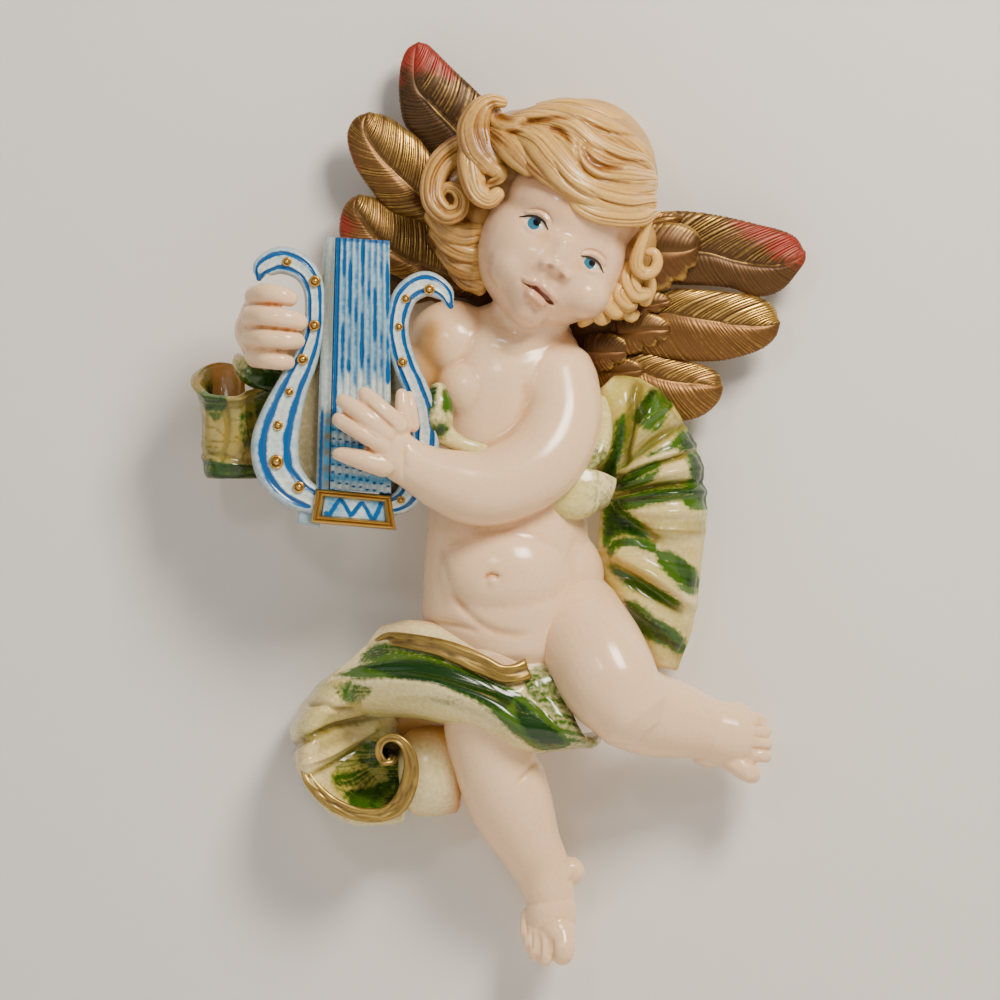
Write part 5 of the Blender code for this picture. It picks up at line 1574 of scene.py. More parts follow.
def swept(name, path, section, marks, front_points, depth=3.0):
    """Sweeps a section, which gives the front's height across it, along a line of (x, out, z, half width)."""
    line, along, _ = laid_out(path, 0.8, 0.9, least=6)
    outward, sideways = side_frame(along)
    turn = np.linspace(0, np.pi, front_points)
    across = np.concatenate([np.cos(turn), (-0.94, 0, 0.94)])
    half = line[:, 3][:, None]
    full = np.clip(half / np.median(half), 0, 1)
    height = np.concatenate(
        [section(np.cos(turn)[None, :], half) * full ** 0.5, -depth * np.ones((len(line), 3)) * full ** 0.3],
        axis=1
    )
    points = (
        line[:, None, :3]
        + height[:, :, None] * outward[:, None]
        + (half * across[None, :])[:, :, None] * sideways[:, None]
    )
    obj = ring_piece(name, points)
    share = np.linspace(0, 1, len(line))[:, None] * np.ones((1, len(across)))
    side = across[None, :] * np.ones((len(line), 1))
    mark(obj, **{key: np.asarray(rule(share, side) + 0 * side, float).ravel() for key, rule in marks.items()})
    finish_piece(obj, LYRE)


# %% [markdown]
# ## Arms of the lyre
#
# The grooves lie half-way between the middle and each side. Their paint runs together at the scroll end.

# %% Arms
LEFT_ARM = [
    (-89.6, 46.6, 21.6, 1.2), (-88.2, 47, 25.4, 3.9), (-81.4, 47.8, 28.0, 5.0), (-74.2, 48.4, 25.0, 4.5),
    (-70.2, 48.6, 18.6, 3.9), (-69.6, 48.6, 10, 3.6),
    (-70.2, 48.4, 2, 3.7), (-73, 48, -7, 4.6), (-77.6, 47.6, -17, 5.8), (-81.8, 47.4, -28, 7.5),
    (-84, 47.4, -38, 8.6), (-82.6, 47.4, -47, 8.2),
    (-77, 47.4, -54, 6.8), (-69.6, 47.6, -58.2, 5),
]
RIGHT_ARM = [
    (-21.2, 48.6, 11.6, 1.2), (-23.6, 49, 16.6, 3.4), (-30.2, 49, 19.6, 4.6), (-37, 49, 15.8, 4.5),
    (-39.9, 49, 8, 4.1), (-40, 48.8, 0, 4.1),
    (-37.6, 48.4, -9, 4.3), (-33.8, 48, -18, 4.6), (-31, 46, -27, 5), (-30.6, 45, -38, 5.4),
    (-33, 45.4, -49, 5.6), (-37.4, 46.6, -57, 4.6), (-43, 47, -60, 3.6),
]


def arm_section(side, half):
    slab = 3.3 * (1 - np.abs(side) ** 3.4) ** 0.5
    groove = -0.85 * bump(np.abs(side) - 0.5, 0.12)
    hollow = -0.75 * np.clip(1 - (side / 0.42) ** 2, 0, 1)
    return slab + groove + hollow - 0.8


def arm_blue(share, side):
    lines = bump(np.abs(side) - 0.5, 0.2) * 1.35 * (0.86 + 0.14 * np.sin(share * 70 + 3 * side))
    tip = np.clip((0.045 - share) * 60, 0, 1) * np.clip(1.5 - np.abs(side) * 1.5, 0, 1)
    return np.clip(lines * np.clip((0.985 - share) * 60, 0, 1) + tip, 0, 1)


for name, path in (("left_lyre_arm", LEFT_ARM), ("right_lyre_arm", RIGHT_ARM)):
    swept(
        name, path, arm_section,
        {
            "blue": arm_blue, "sky": lambda share, side: 0.4 * bump(np.abs(side) - 0.78, 0.2)
            + 0.1 * bump(side, 0.35) + 0.14 * np.sin(share * 40) ** 2,
            "wash": lambda share, side: 0.7 * bump(np.abs(side) - 1, 0.14) + 0.2 * bump(side, 0.25),
        },
        front_points=64,
    )

# %% [markdown]
# ## Pegs
#
# Each is turned: a disc, a groove and a round button. The profile is spun once and placed at each spot.

# %% Pegs
PROFILE = (
    (0.0, -0.6), (1.0, -0.6), (1.05, 0.15), (0.98, 0.36), (0.84, 0.42), (0.68, 0.3), (0.58, 0.14),
    (0.5, 0.3), (0.48, 0.62), (0.38, 0.86), (0.2, 0.97), (0.0, 1.0)
)
PEGS = [  # x, out, z, radius
    (-79.6, 50, 27.4, 1.6), (-69.6, 50.6, 20.4, 2.0), (-69.8, 50.6, 4.6, 1.9), (-74, 50, -7.4, 1.9),
    (-78.8, 49.6, -19, 1.5), (-82.8, 49.4, -31, 1.7),
    (-83.4, 49.4, -44, 2.5), (-75.4, 49.4, -53, 2.0), (-28.8, 51, 17.4, 1.9), (-37.2, 51, 14.2, 1.5),
    (-39.6, 50.8, 4.2, 1.4), (-38.4, 50.4, -8.4, 1.7), (-39, 49, -57.6, 1.3),
]
for number, (x, out, z, size) in enumerate(PEGS, 1):
    spun = bmesh.new()
    chain = [spun.verts.new((r, 0, h)) for r, h in through(PROFILE, 24)]
    edges = [spun.edges.new(pair) for pair in zip(chain, chain[1:])]
    bmesh.ops.spin(spun, geom=chain + edges, cent=(0, 0, 0), axis=(0, 0, 1), angle=2 * np.pi, steps=20)
    bmesh.ops.remove_doubles(spun, verts=spun.verts, dist=0.004)
    radius = np.array([v.co.xy.length for v in spun.verts])
    bmesh.ops.transform(
        spun, verts=spun.verts, matrix=Matrix.Translation(place(x, out, z)) @ Matrix.Rotation(np.pi / 2, 4,
            "X") @ Matrix.Scale(size * MM, 4)
    )
    peg = as_object(f"peg_{number:02d}", spun)
    mark(peg, gilt=1 + 0 * radius, brown=0.75 * bump(radius - 0.6, 0.08) + 0.4 * (radius > 1.02))
    finish_piece(peg, LYRE)

# %% [markdown]
# ## String board
#
# A plate with a bevel at the left and nine painted grooves for strings. Lower down, under the hand, dabs of
# blue cross the ribs. The paint is streaky, so each groove has its own strength that changes along it.

# %% Board
ROWS_UP, FRONT = 110, 150
levels = np.linspace(-54.5, 35.6, ROWS_UP)
span = np.linspace(0, 1, FRONT)
left_edge = np.interp(levels, (-54.5, -40, 0, 35.6), (-69.4, -69, -67.6, -66.4))
right_edge = np.interp(levels, (-54.5, 35.6), (-42.4, -43))
board_x = left_edge[:, None] + (right_edge - left_edge)[:, None] * span[None, :]
STRINGS = np.linspace(0.225, 0.965, 9)
string_at = np.abs(span[:, None] - STRINGS[None, :]).argmin(axis=1)
from_string = (span - STRINGS[string_at]) * 24
rib = 0.42 * np.cos(2 * np.pi * (span - STRINGS[0]) / (STRINGS[1] - STRINGS[0]) + np.pi)
fluted = np.where(
    span > 0.19, rib, -0.25 - 2.2 * bump(span - 0.205, 0.02) - 2.6 * np.clip(0.1 - span, 0, 1) ** 1.3 * 14
)
edge = np.clip(np.minimum(span, 1 - span) * 24 / 0.9, 0, 1)
front_out = 49.4 + fluted[None, :] + 1.4 * np.sqrt(edge)[None, :] + 0 * levels[:, None]
front_out -= 0.5 * bump(levels[:, None] - 34.4, 0.4)
top_slope = -0.065 * (board_x + 55)
points = np.stack([board_x, front_out, levels[:, None] + top_slope], axis=2)
back_line = [
    np.stack([board_x[:, k], 0 * levels + 43.5, levels + top_slope[:, k]], axis=1)[:, None] for k in (-1, 0)
]
rings = np.concatenate([points, *back_line], axis=1)
board = ring_piece("string_board", rings)
level = levels[:, None] + 0 * span[None, :]
strength = np.array((1.15, 0.85, 1.0, 0.7, 1.05, 0.62, 0.95, 0.6, 1.1))[string_at][None, :]
wave = (
    0.75
    + 0.35 * np.sin(level * 0.19 + string_at[None, :] * 2.1)
    + 0.2 * np.sin(level * 0.53 + string_at[None, :])
)
upper = np.clip((level + 16 + 3 * np.sin(string_at[None, :] * 2.7)) / 3, 0, 1)
blue = bump(from_string, 0.8)[None, :] * strength * np.clip(wave, 0.35, 1.2) * upper
first = bump(from_string, 0.95)[None, :] * (string_at == 0)[None, :] * np.clip((level + 30) / 3, 0, 1)
dabs = (
    (level < -29)
    * np.clip(np.sin(level * 2.05 + 0.9 * string_at[None, :]) * 1.6 - 0.35, 0, 1)
    * bump(from_string, 0.8)[None, :]
    * (span > 0.1)[None, :]
)
foot = bump(span - 0.06, 0.035)[None, :] * np.clip((-22 - level) / 6, 0, 1)
top = 0.9 * bump(level - 35.2, 0.7) * (span > 0.2)[None, :]
blue = np.clip(np.maximum.reduce([blue, first, dabs, 0.85 * foot, top]), 0, 1)
sky = np.clip(
    0.25 + 0.6 * bump(from_string, 1.1)[None, :] * upper
    + 0.75 * (level < -28) * (span > 0.1)[None, :] * (0.5 + 0.5 * np.sin(level * 1.1)),
    0, 1,
)
stain = (
    0.85 * (1 - bump(from_string, 0.9))[None, :] * (0.6 + 0.4 * np.sin(level * 0.11 + 2.3 * span[None, :]))
    + 0.55 * bump(span - 0.15, 0.05)[None, :]
)


def with_back(values, back=0.3):
    return np.concatenate([values + 0 * level, np.full((ROWS_UP, 2), back)], axis=1).ravel()


mark(board, blue=with_back(blue, 0), sky=with_back(sky, 0), wash=with_back(stain, 0.6))
finish_piece(board, LYRE)

# %% [markdown]
# ## Sunk web and the base
#
# Behind the arms a lower web joins them to the board; it holds most of the beige wash. The base is a chain
# of four-cornered rings from its back to the sunk panel, which steps up over a double-ridged gold frame.

# %% Web and base
for name, path in (
    ("left_lyre_web", [(-68.6, 44, 0, 2.4), (-70.4, 44, -10, 4.6), (-73, 44, -20, 7), (-75, 44, -32, 9),
        (-75.4, 44, -42, 9), (-72, 44, -52, 6.6)]),
    ("right_lyre_web", [(-43, 44, 14, 2), (-42.6, 44, 4, 3), (-41.4, 43.6, -6, 4), (-39, 43, -16, 6),
        (-38, 42.4, -30, 8), (-39, 42.6, -44, 8), (-42, 43, -55, 5)]),
):
    swept(
        name, path, lambda side, half: 1.6 - 0.9 * (1 - side ** 2) - 0.3 * bump(np.abs(side) - 0.25, 0.12),
        {"wash": lambda share, side: 1.0 - 0.4 * bump(side + 0.2, 0.2) + 0.25 * bump(np.abs(side) - 1, 0.2),
            "brown": lambda share, side: 0.5 * bump(np.abs(side) - 0.8, 0.3)},
        front_points=40, depth=2.4,
    )


PER_SIDE = 14


def nested_rings(name, outer, inner, steps, per_side=PER_SIDE):
    """Rings between an outer and an inner outline: each step is (share of the way in, out)."""
    rings = []
    for share, out in steps:
        corners = [np.array(a) * (1 - share) + np.array(b) * share for a, b in zip(outer, inner)]
        ring = []
        for near, far in zip(corners, corners[1:] + corners[:1]):
            for t in np.linspace(0, 1, per_side, endpoint=False):
                x, z = near * (1 - t) + far * t
                ring.append((x, out, z))
        rings.append(ring)
    return ring_piece(name, rings)


OUTER = [(-69.4, -53.4), (-42.4, -56), (-40.6, -68.4), (-71.2, -65.8)]
INNER = [(-66.2, -56.4), (-45.2, -58.4), (-44.2, -65.2), (-67.6, -63.2)]
STEPS = (
    (0.0, 40), (-0.02, 44), (0.0, 49.2), (0.05, 50.6), (0.16, 51.7), (0.3, 52), (0.42, 51.6), (0.5, 51),
    (0.58, 51.5), (0.7, 52), (0.84, 51.7), (0.95, 50.9),
    (1.0, 50.2), (1.04, 49.2), (1.12, 49.0),
)
base = nested_rings("lyre_base", OUTER, INNER, STEPS)
share, out = np.repeat(STEPS, 4 * PER_SIDE, axis=0).T
mark(
    base, gilt=np.clip((out - 49) * 3, 0, 1) * (share < 1.02), brown=0.7 * bump(share - 0.5, 0.07)
    + 0.7 * bump(share - 1.02, 0.05) + 0.45 * bump(out - 49.4, 0.5) * (share < 0.5),
    wash=0.75 * (out < 49.3), sky=0.4 * (out < 49.3),
)
finish_piece(base, LYRE, angle=40)

panel_guides = [
    [(-66.4, 49.6, -56.0), (-45, 49.6, -58.0)],
    [(-66.8, 49.5, -59.4), (-44.6, 49.5, -61.5)],
    [(-67.4, 49.6, -63.4), (-44.2, 49.6, -65.4)],
]
panel_guides = [[a, tuple((np.array(a) + b) / 2), b] for a, b in panel_guides]
face, normal, u, v = cloth_surface(panel_guides, 110, 44, lambda u, v: 0.12 * np.sin(31 * u) * np.sin(9 * v))
ZIGZAG = [
    (0.07, 0.86), (0.12, 0.92), (0.25, 0.2), (0.31, 0.22), (0.43, 0.74), (0.47, 0.8), (0.6, 0.3),
    (0.65, 0.26), (0.78, 0.9), (0.82, 0.9), (0.95, 0.14)
]
gap, _ = off_line(np.stack([u * 3.2, 0 * u, v], axis=-1).reshape(-1, 3), [(a * 3.2, b) for a, b in ZIGZAG])
zigzag = np.clip(1.25 - gap.reshape(u.shape) / 0.16, 0, 1)
panel = closed_sheet(
    "zigzag_panel", face, normal, u, v, 1.4, blue=zigzag, sky=0.5 + 0.3 * np.sin(9 * u),
    wash=0.55 * np.clip(1 - u * 5, 0, 1) + 0.3 * bump(v, 0.12) + 0.3 * bump(v - 1, 0.12),
    brown=0.6 * bump(u, 0.03),
)
finish_piece(panel, LYRE)
block = nested_rings(
    "lyre_side_block", [(-75.4, -58.6), (-68, -59.6), (-68, -67.4), (-76, -65.8)],
    [(-72, -61.6), (-70, -61.8), (-70, -64.6), (-72.4, -64)],
    ((0.3, 39), (0.0, 40), (0.0, 46.4), (0.1, 47.6), (0.3, 48), (0.8, 47.8)), per_side=8,
)
even_tone = np.full(len(block.data.vertices), 0.45)
mark(block, sky=even_tone, wash=even_tone)
finish_piece(block, LYRE, angle=50)

# %% [markdown]
# ## Wings
#
# Each wing is a fan of broad feathers behind the shoulder. A feather is a thick leaf between two drawn
# edges with a double-ridged shaft. Barbs leave the shaft and lean towards the tip, so the rows of the
# leaf's grid are laid along the barbs: each row starts on the shaft and ends further on along the edge. A
# groove is then a matter of the row alone, and stays crisp. No two barbs are equally deep. Antique gold
# lies on the raised barbs over a brown ground, and the tips are brushed with red.

# %% Feather
# Gold powder rubbed over a dark brown coat: metal on the ridges, dull brown in the grooves, red on the tips.
# The gold is thicker on the half of each feather that faces up and to the right: painted highlight over the
# rubbed gold.
GOLD = painted(
    "antique_gold_paint", "#80602B", "#684A20",
    [
        ("dark", "#2E1F0D", 1.1, 0.2, 0.5, 0.45), ("copper", "#8C5A30", 1.2, 0.2, 0.7, 0.42),
        ("gild", "#D6AE5C", 0.8, 0.25, 1, 0.3),
        ("red", "#8E2410", 0.6, 0.34, 0.1, 0.46), ("back", "#8A775A", 0.5, 0.05, 0, 0.6),
    ],
    gloss=0.38, mottle=7, metal=0.75, grain=0.35, bumpy=0.1,
)
rng = np.random.default_rng(4)
FINE, MOST_BARBS = 400, 900  # samples of a drawn edge, and barbs that one feather may have


def feather(name, node, first, shaft, second, pitch=(2.2, 1.5), depth=(0.55, 0.3), lean=(1.6, 1.25),
    gild=(1.0, 0.35), dark=0.3, copper=(0.1, 0.3),
            red=(), lobes=(1.8, 1.4), thick=2.2, shaft_end=0.93, per_barb=5, cols=17, shaft_height=0.32,
            bow=1.5, rim_highlight=0.0):
    """A leaf between two edges with barbs on both halves. Pairs give the first half and the second half."""
    fine = even(shaft, FINE)
    length = np.linalg.norm(np.diff(fine, axis=0), axis=1).sum()
    rows = int(length / min(pitch) * per_barb)
    u = np.linspace(0, 1, rows)
    middle = even(shaft, rows)
    tangent = np.gradient(middle, axis=0)
    tangent /= np.linalg.norm(tangent, axis=1)[:, None]
    w = np.linspace(0, 1, cols) ** 1.35
    halves = []
    for half, edge in enumerate((first, second)):
        outline = even(edge, FINE)
        ahead = (1 - (1 - u) ** lean[half]) * (FINE - 1)
        rim = np.stack([np.interp(ahead, np.arange(FINE), outline[:, k]) for k in range(3)], axis=1)
        phase = u * length / pitch[half]
        phase = phase + 0.34 * np.sin(phase * 0.7 + half) + 0.16 * np.sin(phase * 1.9)
        bold = 0.15 + 1.1 * rng.random(MOST_BARBS)[np.floor(phase).astype(int) % MOST_BARBS]
        ridge = np.abs(np.sin(np.pi * phase)) ** 0.7
        reach = (rim - middle) * (1 + 0.02 * (ridge - 0.5) * bold)[:, None]
        points = middle[:, None] + reach[:, None] * w[None, :, None]
        points -= tangent[:, None] * (bow * 4 * w * (1 - w))[None, :, None] * np.sin(np.pi * u)[:, None, None]
        across = np.linalg.norm(reach, axis=1)[:, None] * w[None, :]
        lobe = lobes[half] * np.sin(np.pi * w ** 0.85) ** 0.8
        points[:, :, 1] += lobe[None, :] * np.sin(np.pi * np.clip(0.08 + 0.92 * u, 0, 1))[:, None] ** 0.5
        fade = np.clip((across - 1.2) / 2, 0, 1)
        shaft_fade = np.clip((shaft_end - u) * 14, 0, 1)[:, None]
        relief = (ridge - 0.75)[:, None] * depth[half] * bold[:, None] * fade
        relief = (
            relief
            + shaft_height * shaft_fade * (bump(across - 0.8, 0.45) - 0.5 * bump(across - 1.8, 0.5)
                - 0.3 * bump(across, 0.3))
        )
        # Gold on the raised barbs and along the shaft; the half that faces up and to the right gets more of
        # it, as painted highlight.
        shine = (
            gild[half] * (bold * ridge ** 3)[:, None] * fade * (0.75 + 0.35 * w)[None, :]
            + 0.3 * shaft_fade * bump(across - 0.8, 0.4)
        )
        # Gold along the outer rim of a covert: painted highlight.
        shine = shine + rim_highlight * bump(w - 1, 0.16)[None, :] * np.clip(u * 3 - 1, 0, 1)[:, None]
        shade = dark + 0.6 * ((1 - ridge) ** 1.5)[:, None] * fade + 0.4 * bump(across - 1.8, 0.6) * shaft_fade
        warm = copper[half] + 0 * across
        tipped = (0.42 + 0.72 * bold * ridge)[:, None] + 0 * across
        room = np.linalg.norm(reach, axis=1)[:, None] * (1 - w)[None, :]
        halves.append((points, relief, shine, shade, warm, tipped, room))
    joined = [np.concatenate([a[:, :0:-1], b], axis=1) for a, b in zip(*halves)]
    face, relief, shine, shade, warm, tipped, room = joined
    normal = grid_normals(face)
    rim = np.minimum(room, np.minimum(u * 9, (1 - u) * length)[:, None])
    swell = thick / 2 * np.sqrt(np.clip(1 - (1 - np.clip(rim / (thick / 2), 0, 1)) ** 2, 0, 1))
    front = face + normal * (swell + relief * np.clip(rim / 0.5, 0, 1))[:, :, None]
    behind = face - normal * swell[:, :, None]
    for side in (front, behind):
        side[:, :, 1] = np.maximum(side[:, :, 1], AT_REST)
    flat = face.reshape(-1, 3)
    blush = np.zeros(len(flat))
    for outline, strong in red:
        blush = np.maximum(blush, strong * inside_outline(flat, outline, 7.0))
    blush = blush.reshape(shine.shape)
    marks = {"gild": shine * (1 - 0.5 * blush), "dark": shade, "copper": warm, "red": blush * tipped}
    both = {key: np.concatenate([values.ravel(), 0.4 * values.ravel()]) for key, values in marks.items()}
    finish_piece(two_sided(name, front, behind, **both), GOLD, node)


# %% [markdown]
# ## Left wing
#
# Three feathers above one another, a covert over the root of the lowest, and a plain root that goes behind
# the hair.

# %% Left feathers
feather(
    "left_feather_top", "left_wing",
    [(-20, 8, 62), (-30, 9, 68.6), (-36.6, 10, 76), (-39, 10, 81), (-40.2, 10, 90), (-39.9, 10, 96),
        (-38.9, 10, 101.4), (-36.8, 10, 105.6), (-33, 10, 107.8)],
    [(-10, 9, 66), (-20, 11, 76.6), (-28, 12, 84.4), (-33.4, 12, 90.6), (-34.4, 11.6, 98), (-33, 10, 107.8)],
    [(-2, 8, 76), (-6, 9, 83), (-9.4, 10, 87.4), (-15, 10, 93), (-20, 10, 97.6), (-24.6, 10, 102.2),
        (-27.6, 10, 105.2), (-30, 10, 107.2), (-33, 10, 107.8)],
    pitch=(1.3, 1.4), depth=(0.16, 0.26), lean=(1.15, 1.7), gild=(0.03, 0.42), dark=0.85, copper=(0, 0),
    lobes=(1.5, 2.2), shaft_end=0.62,
    red=[([(-43, 91), (-39, 93), (-37, 99), (-33, 96), (-28, 97), (-24, 95), (-20, 95), (-24, 106),
        (-33, 112), (-44, 106)], 1.0)],
)
feather(
    "left_feather_middle", "left_wing",
    [(-10, 11, 30), (-22, 12, 38), (-36, 14, 44.6), (-44.6, 14.5, 48), (-51, 14.5, 55.4), (-55.4, 14, 62),
        (-57.8, 14, 68), (-58.8, 13.5, 73.6), (-57.8, 13, 77.6), (-55.4, 13, 80.6), (-50.4, 13, 82.2)],
    [(-8, 12, 32), (-24, 14, 44), (-33, 15.5, 52.4), (-41, 16, 60), (-47.4, 16, 66.8), (-52.6, 15.5, 75),
        (-52.4, 14, 79.2), (-50.4, 13, 82.2)],
    [(-6, 11, 40), (-17, 12, 52), (-24, 13, 60), (-28.6, 14, 66.6), (-33, 14, 73), (-38.6, 14, 77),
        (-42, 13.5, 79.6), (-46, 13, 81.6), (-50.4, 13, 82.2)],
    pitch=(1.3, 1.15), depth=(0.2, 0.3), lean=(1.25, 1.7), gild=(0.4, 0.6), dark=0.28, copper=(0.15, 0.05),
    lobes=(2.4, 2.6),
    red=[([(-62, 58), (-56.4, 59), (-53.4, 63), (-55.4, 69), (-58, 74), (-63, 77)], 0.75)],
)
feather(
    "left_feather_lower", "left_wing",
    [(-12, 12, 14), (-24, 13, 17.6), (-34, 14, 20), (-44, 14, 25), (-52, 14.5, 29), (-58, 14.5, 32.6),
        (-61.2, 14.5, 37), (-61.4, 14, 43), (-60, 14, 48), (-57.4, 14, 51), (-54, 14, 52.2)],
    [(-10, 13, 18), (-22, 14.5, 22.6), (-30, 15.5, 25.6), (-38, 16.5, 29), (-46, 17, 34.6), (-53, 17, 42.6),
        (-56, 16, 47.4), (-54, 14, 52.2)],
    [(-10, 11, 30), (-20, 12, 38), (-28.6, 12, 44.6), (-37, 12, 48), (-43.6, 12.4, 50), (-47.6, 13.4, 51.4),
        (-51, 14, 52.2), (-54, 14, 52.4)],
    pitch=(1.25, 1.15), depth=(0.2, 0.32), lean=(1.25, 1.7), gild=(0.35, 0.6), dark=0.3, copper=(0.15, 0.05),
    lobes=(2.2, 2.6),
    red=[([(-64, 36), (-57, 37), (-54.6, 41), (-58, 46), (-63, 49)], 0.8)],
)
feather(
    "left_covert", "left_wing",
    [(-10, 16, 22), (-18, 18, 26.6), (-24, 19, 29.6), (-27.6, 19, 31.6), (-29.6, 18, 34.6)],
    [(-10, 18, 30), (-18, 20, 33), (-24, 20, 35), (-27.4, 19.6, 36), (-29.6, 18, 34.6)],
    [(-10, 16, 40), (-18, 18, 43), (-24, 19, 43.6), (-29, 19, 41.4), (-30.4, 18.6, 38), (-29.6, 18, 34.6)],
    pitch=(1.4, 1.4), depth=(0.18, 0.18), lean=(1.2, 1.2), gild=(0.2, 0.25), dark=0.3, lobes=(1.2, 1.6),
    shaft_end=0.3, shaft_height=0.0,
)

# %% [markdown]
# ## Right wing
#
# Three feathers spread to the side. The top one starts under a big smooth covert whose edges carry gold as
# painted highlight.

# %% Right feathers
feather(
    "right_feather_top", "right_wing",
    [(28, 9, 34), (40, 10, 41), (52, 12, 45.4), (60, 13, 46.8), (70, 13.5, 46), (80, 13.5, 44.2),
        (90, 13.5, 41.8), (98, 13, 39.8), (103.4, 12.4, 37), (106.6, 12, 32)],
    [(28, 10, 26), (44, 12, 30), (58, 14, 32), (70, 15, 31.8), (80, 15, 29), (90, 14.6, 27.2),
        (99, 14, 27.6), (106.6, 12, 32)],
    [(28, 9, 14), (42, 10, 18), (54, 12, 20), (64, 13, 20), (74, 13.5, 19.6), (81, 13.5, 18.6),
        (88, 13.5, 16), (94, 13, 16.4), (99, 12.8, 19), (103, 12.4, 23.4), (106.4, 12, 28.6),
        (106.6, 12, 32)],
    pitch=(1.7, 1.4), depth=(0.5, 0.14), lean=(2.0, 1.15), gild=(0.46, 0.06), dark=0.66, copper=(0.05, 0.08),
    lobes=(2.4, 1.6),
    red=[([(78, 44), (84, 37), (92, 33), (98, 28), (112, 24), (112, 40), (98, 42), (92, 44)], 0.85),
        ([(92, 36), (96, 29), (112, 26), (112, 38), (100, 40)], 1.0)],
)
feather(
    "right_feather_middle", "right_wing",
    [(26, 10, 8), (40, 12, 12), (52, 14, 16), (62, 15, 18.6), (70, 15.5, 18), (78, 15.5, 17.4),
        (85.4, 15, 16.7), (91.6, 14.4, 14.8), (95.6, 13.6, 11.5), (97.4, 13, 6.4)],
    [(24, 11, 4), (40, 14, 9), (54, 16, 10.2), (62, 17, 8.8), (72, 17, 7), (82, 16.6, 5.6), (90, 15.4, 5.2),
        (97.4, 13, 6.4)],
    [(24, 10, -4), (38, 12, -4.6), (50, 14, -5.4), (60, 15, -7.2), (69, 15.5, -7.6), (77, 15.5, -7.2),
        (85.4, 15, -5.2), (92, 14.4, -2.4), (96.2, 13.6, 1.7), (97.4, 13, 6.4)],
    pitch=(1.7, 1.5), depth=(0.5, 0.26), lean=(1.8, 1.35), gild=(1.0, 0.2), dark=0.3, copper=(0.0, 0.3),
    lobes=(2.6, 2.2),
)
feather(
    "right_feather_lower", "right_wing",
    [(22, 9, -2), (34, 11, -4), (45, 12.5, -4.4), (52, 13.5, -4.6), (60, 13.5, -7), (67, 13.4, -8.3),
        (72, 13.2, -9.7), (75.6, 12.8, -12.4), (76.8, 12, -17)],
    [(22, 10, -6), (36, 12.5, -8.6), (46, 14, -11), (54, 15, -14), (62, 15, -15.6), (69, 14.4, -15.8),
        (76.8, 12, -17)],
    [(22, 9, -14), (36, 11, -18), (46, 12, -22), (54, 13, -26), (60, 13.4, -28.6), (65, 13.4, -28.6),
        (70, 13.2, -26.8), (74, 12.8, -23.6), (76.2, 12.4, -20.4), (76.8, 12, -17)],
    pitch=(1.4, 1.4), depth=(0.32, 0.26), lean=(1.7, 1.4), gild=(0.6, 0.3), dark=0.2, copper=(0.15, 0.28),
    lobes=(2.0, 2.4),
)
feather(
    "right_covert_big", "right_wing",
    [(26, 13, 30), (38, 16, 38), (48, 18.4, 42), (56, 19, 42.6), (62, 19, 42), (67, 18, 39.6),
        (68.4, 17, 36)],
    [(24, 15, 22), (40, 19, 29), (52, 20.6, 31.4), (60, 20.4, 31.6), (65, 19.4, 32.6), (68.4, 17, 36)],
    [(24, 13, 12), (36, 16, 15), (46, 18.4, 16.6), (53, 19, 17.6), (57.4, 19, 19), (59, 18.6, 21.4),
        (63, 18.6, 21.8), (64.4, 18.2, 25.6), (67, 17.6, 27), (67.4, 17.4, 30.6), (68.4, 17, 36)],
    pitch=(2.0, 2.2), depth=(0.12, 0.05), lean=(1.4, 1.1), gild=(0.1, 0.05), dark=0.68, rim_highlight=0.7,
    lobes=(1.8, 1.6), shaft_end=0.2, shaft_height=0.0, thick=2.6,
)
feather(
    "right_covert_fringe", "right_wing",
    [(40, 15, 41), (48, 17.4, 44.4), (54, 18, 46), (59, 17.4, 46.2), (62.4, 16, 44.4)],
    [(40, 16, 38), (48, 18.6, 41.4), (54, 19.4, 43), (58, 18.8, 43.6), (62.4, 16, 44.4)],
    [(40, 15, 35), (48, 18, 38.6), (54, 19.2, 40), (59, 18.6, 41.4), (62.4, 16, 44.4)],
    pitch=(1.5, 1.5), depth=(0.5, 0.5), lean=(1.5, 1.5), gild=(0.8, 0.8), dark=0.2,
    lobes=(0.8, 0.8), shaft_end=0.9,
)
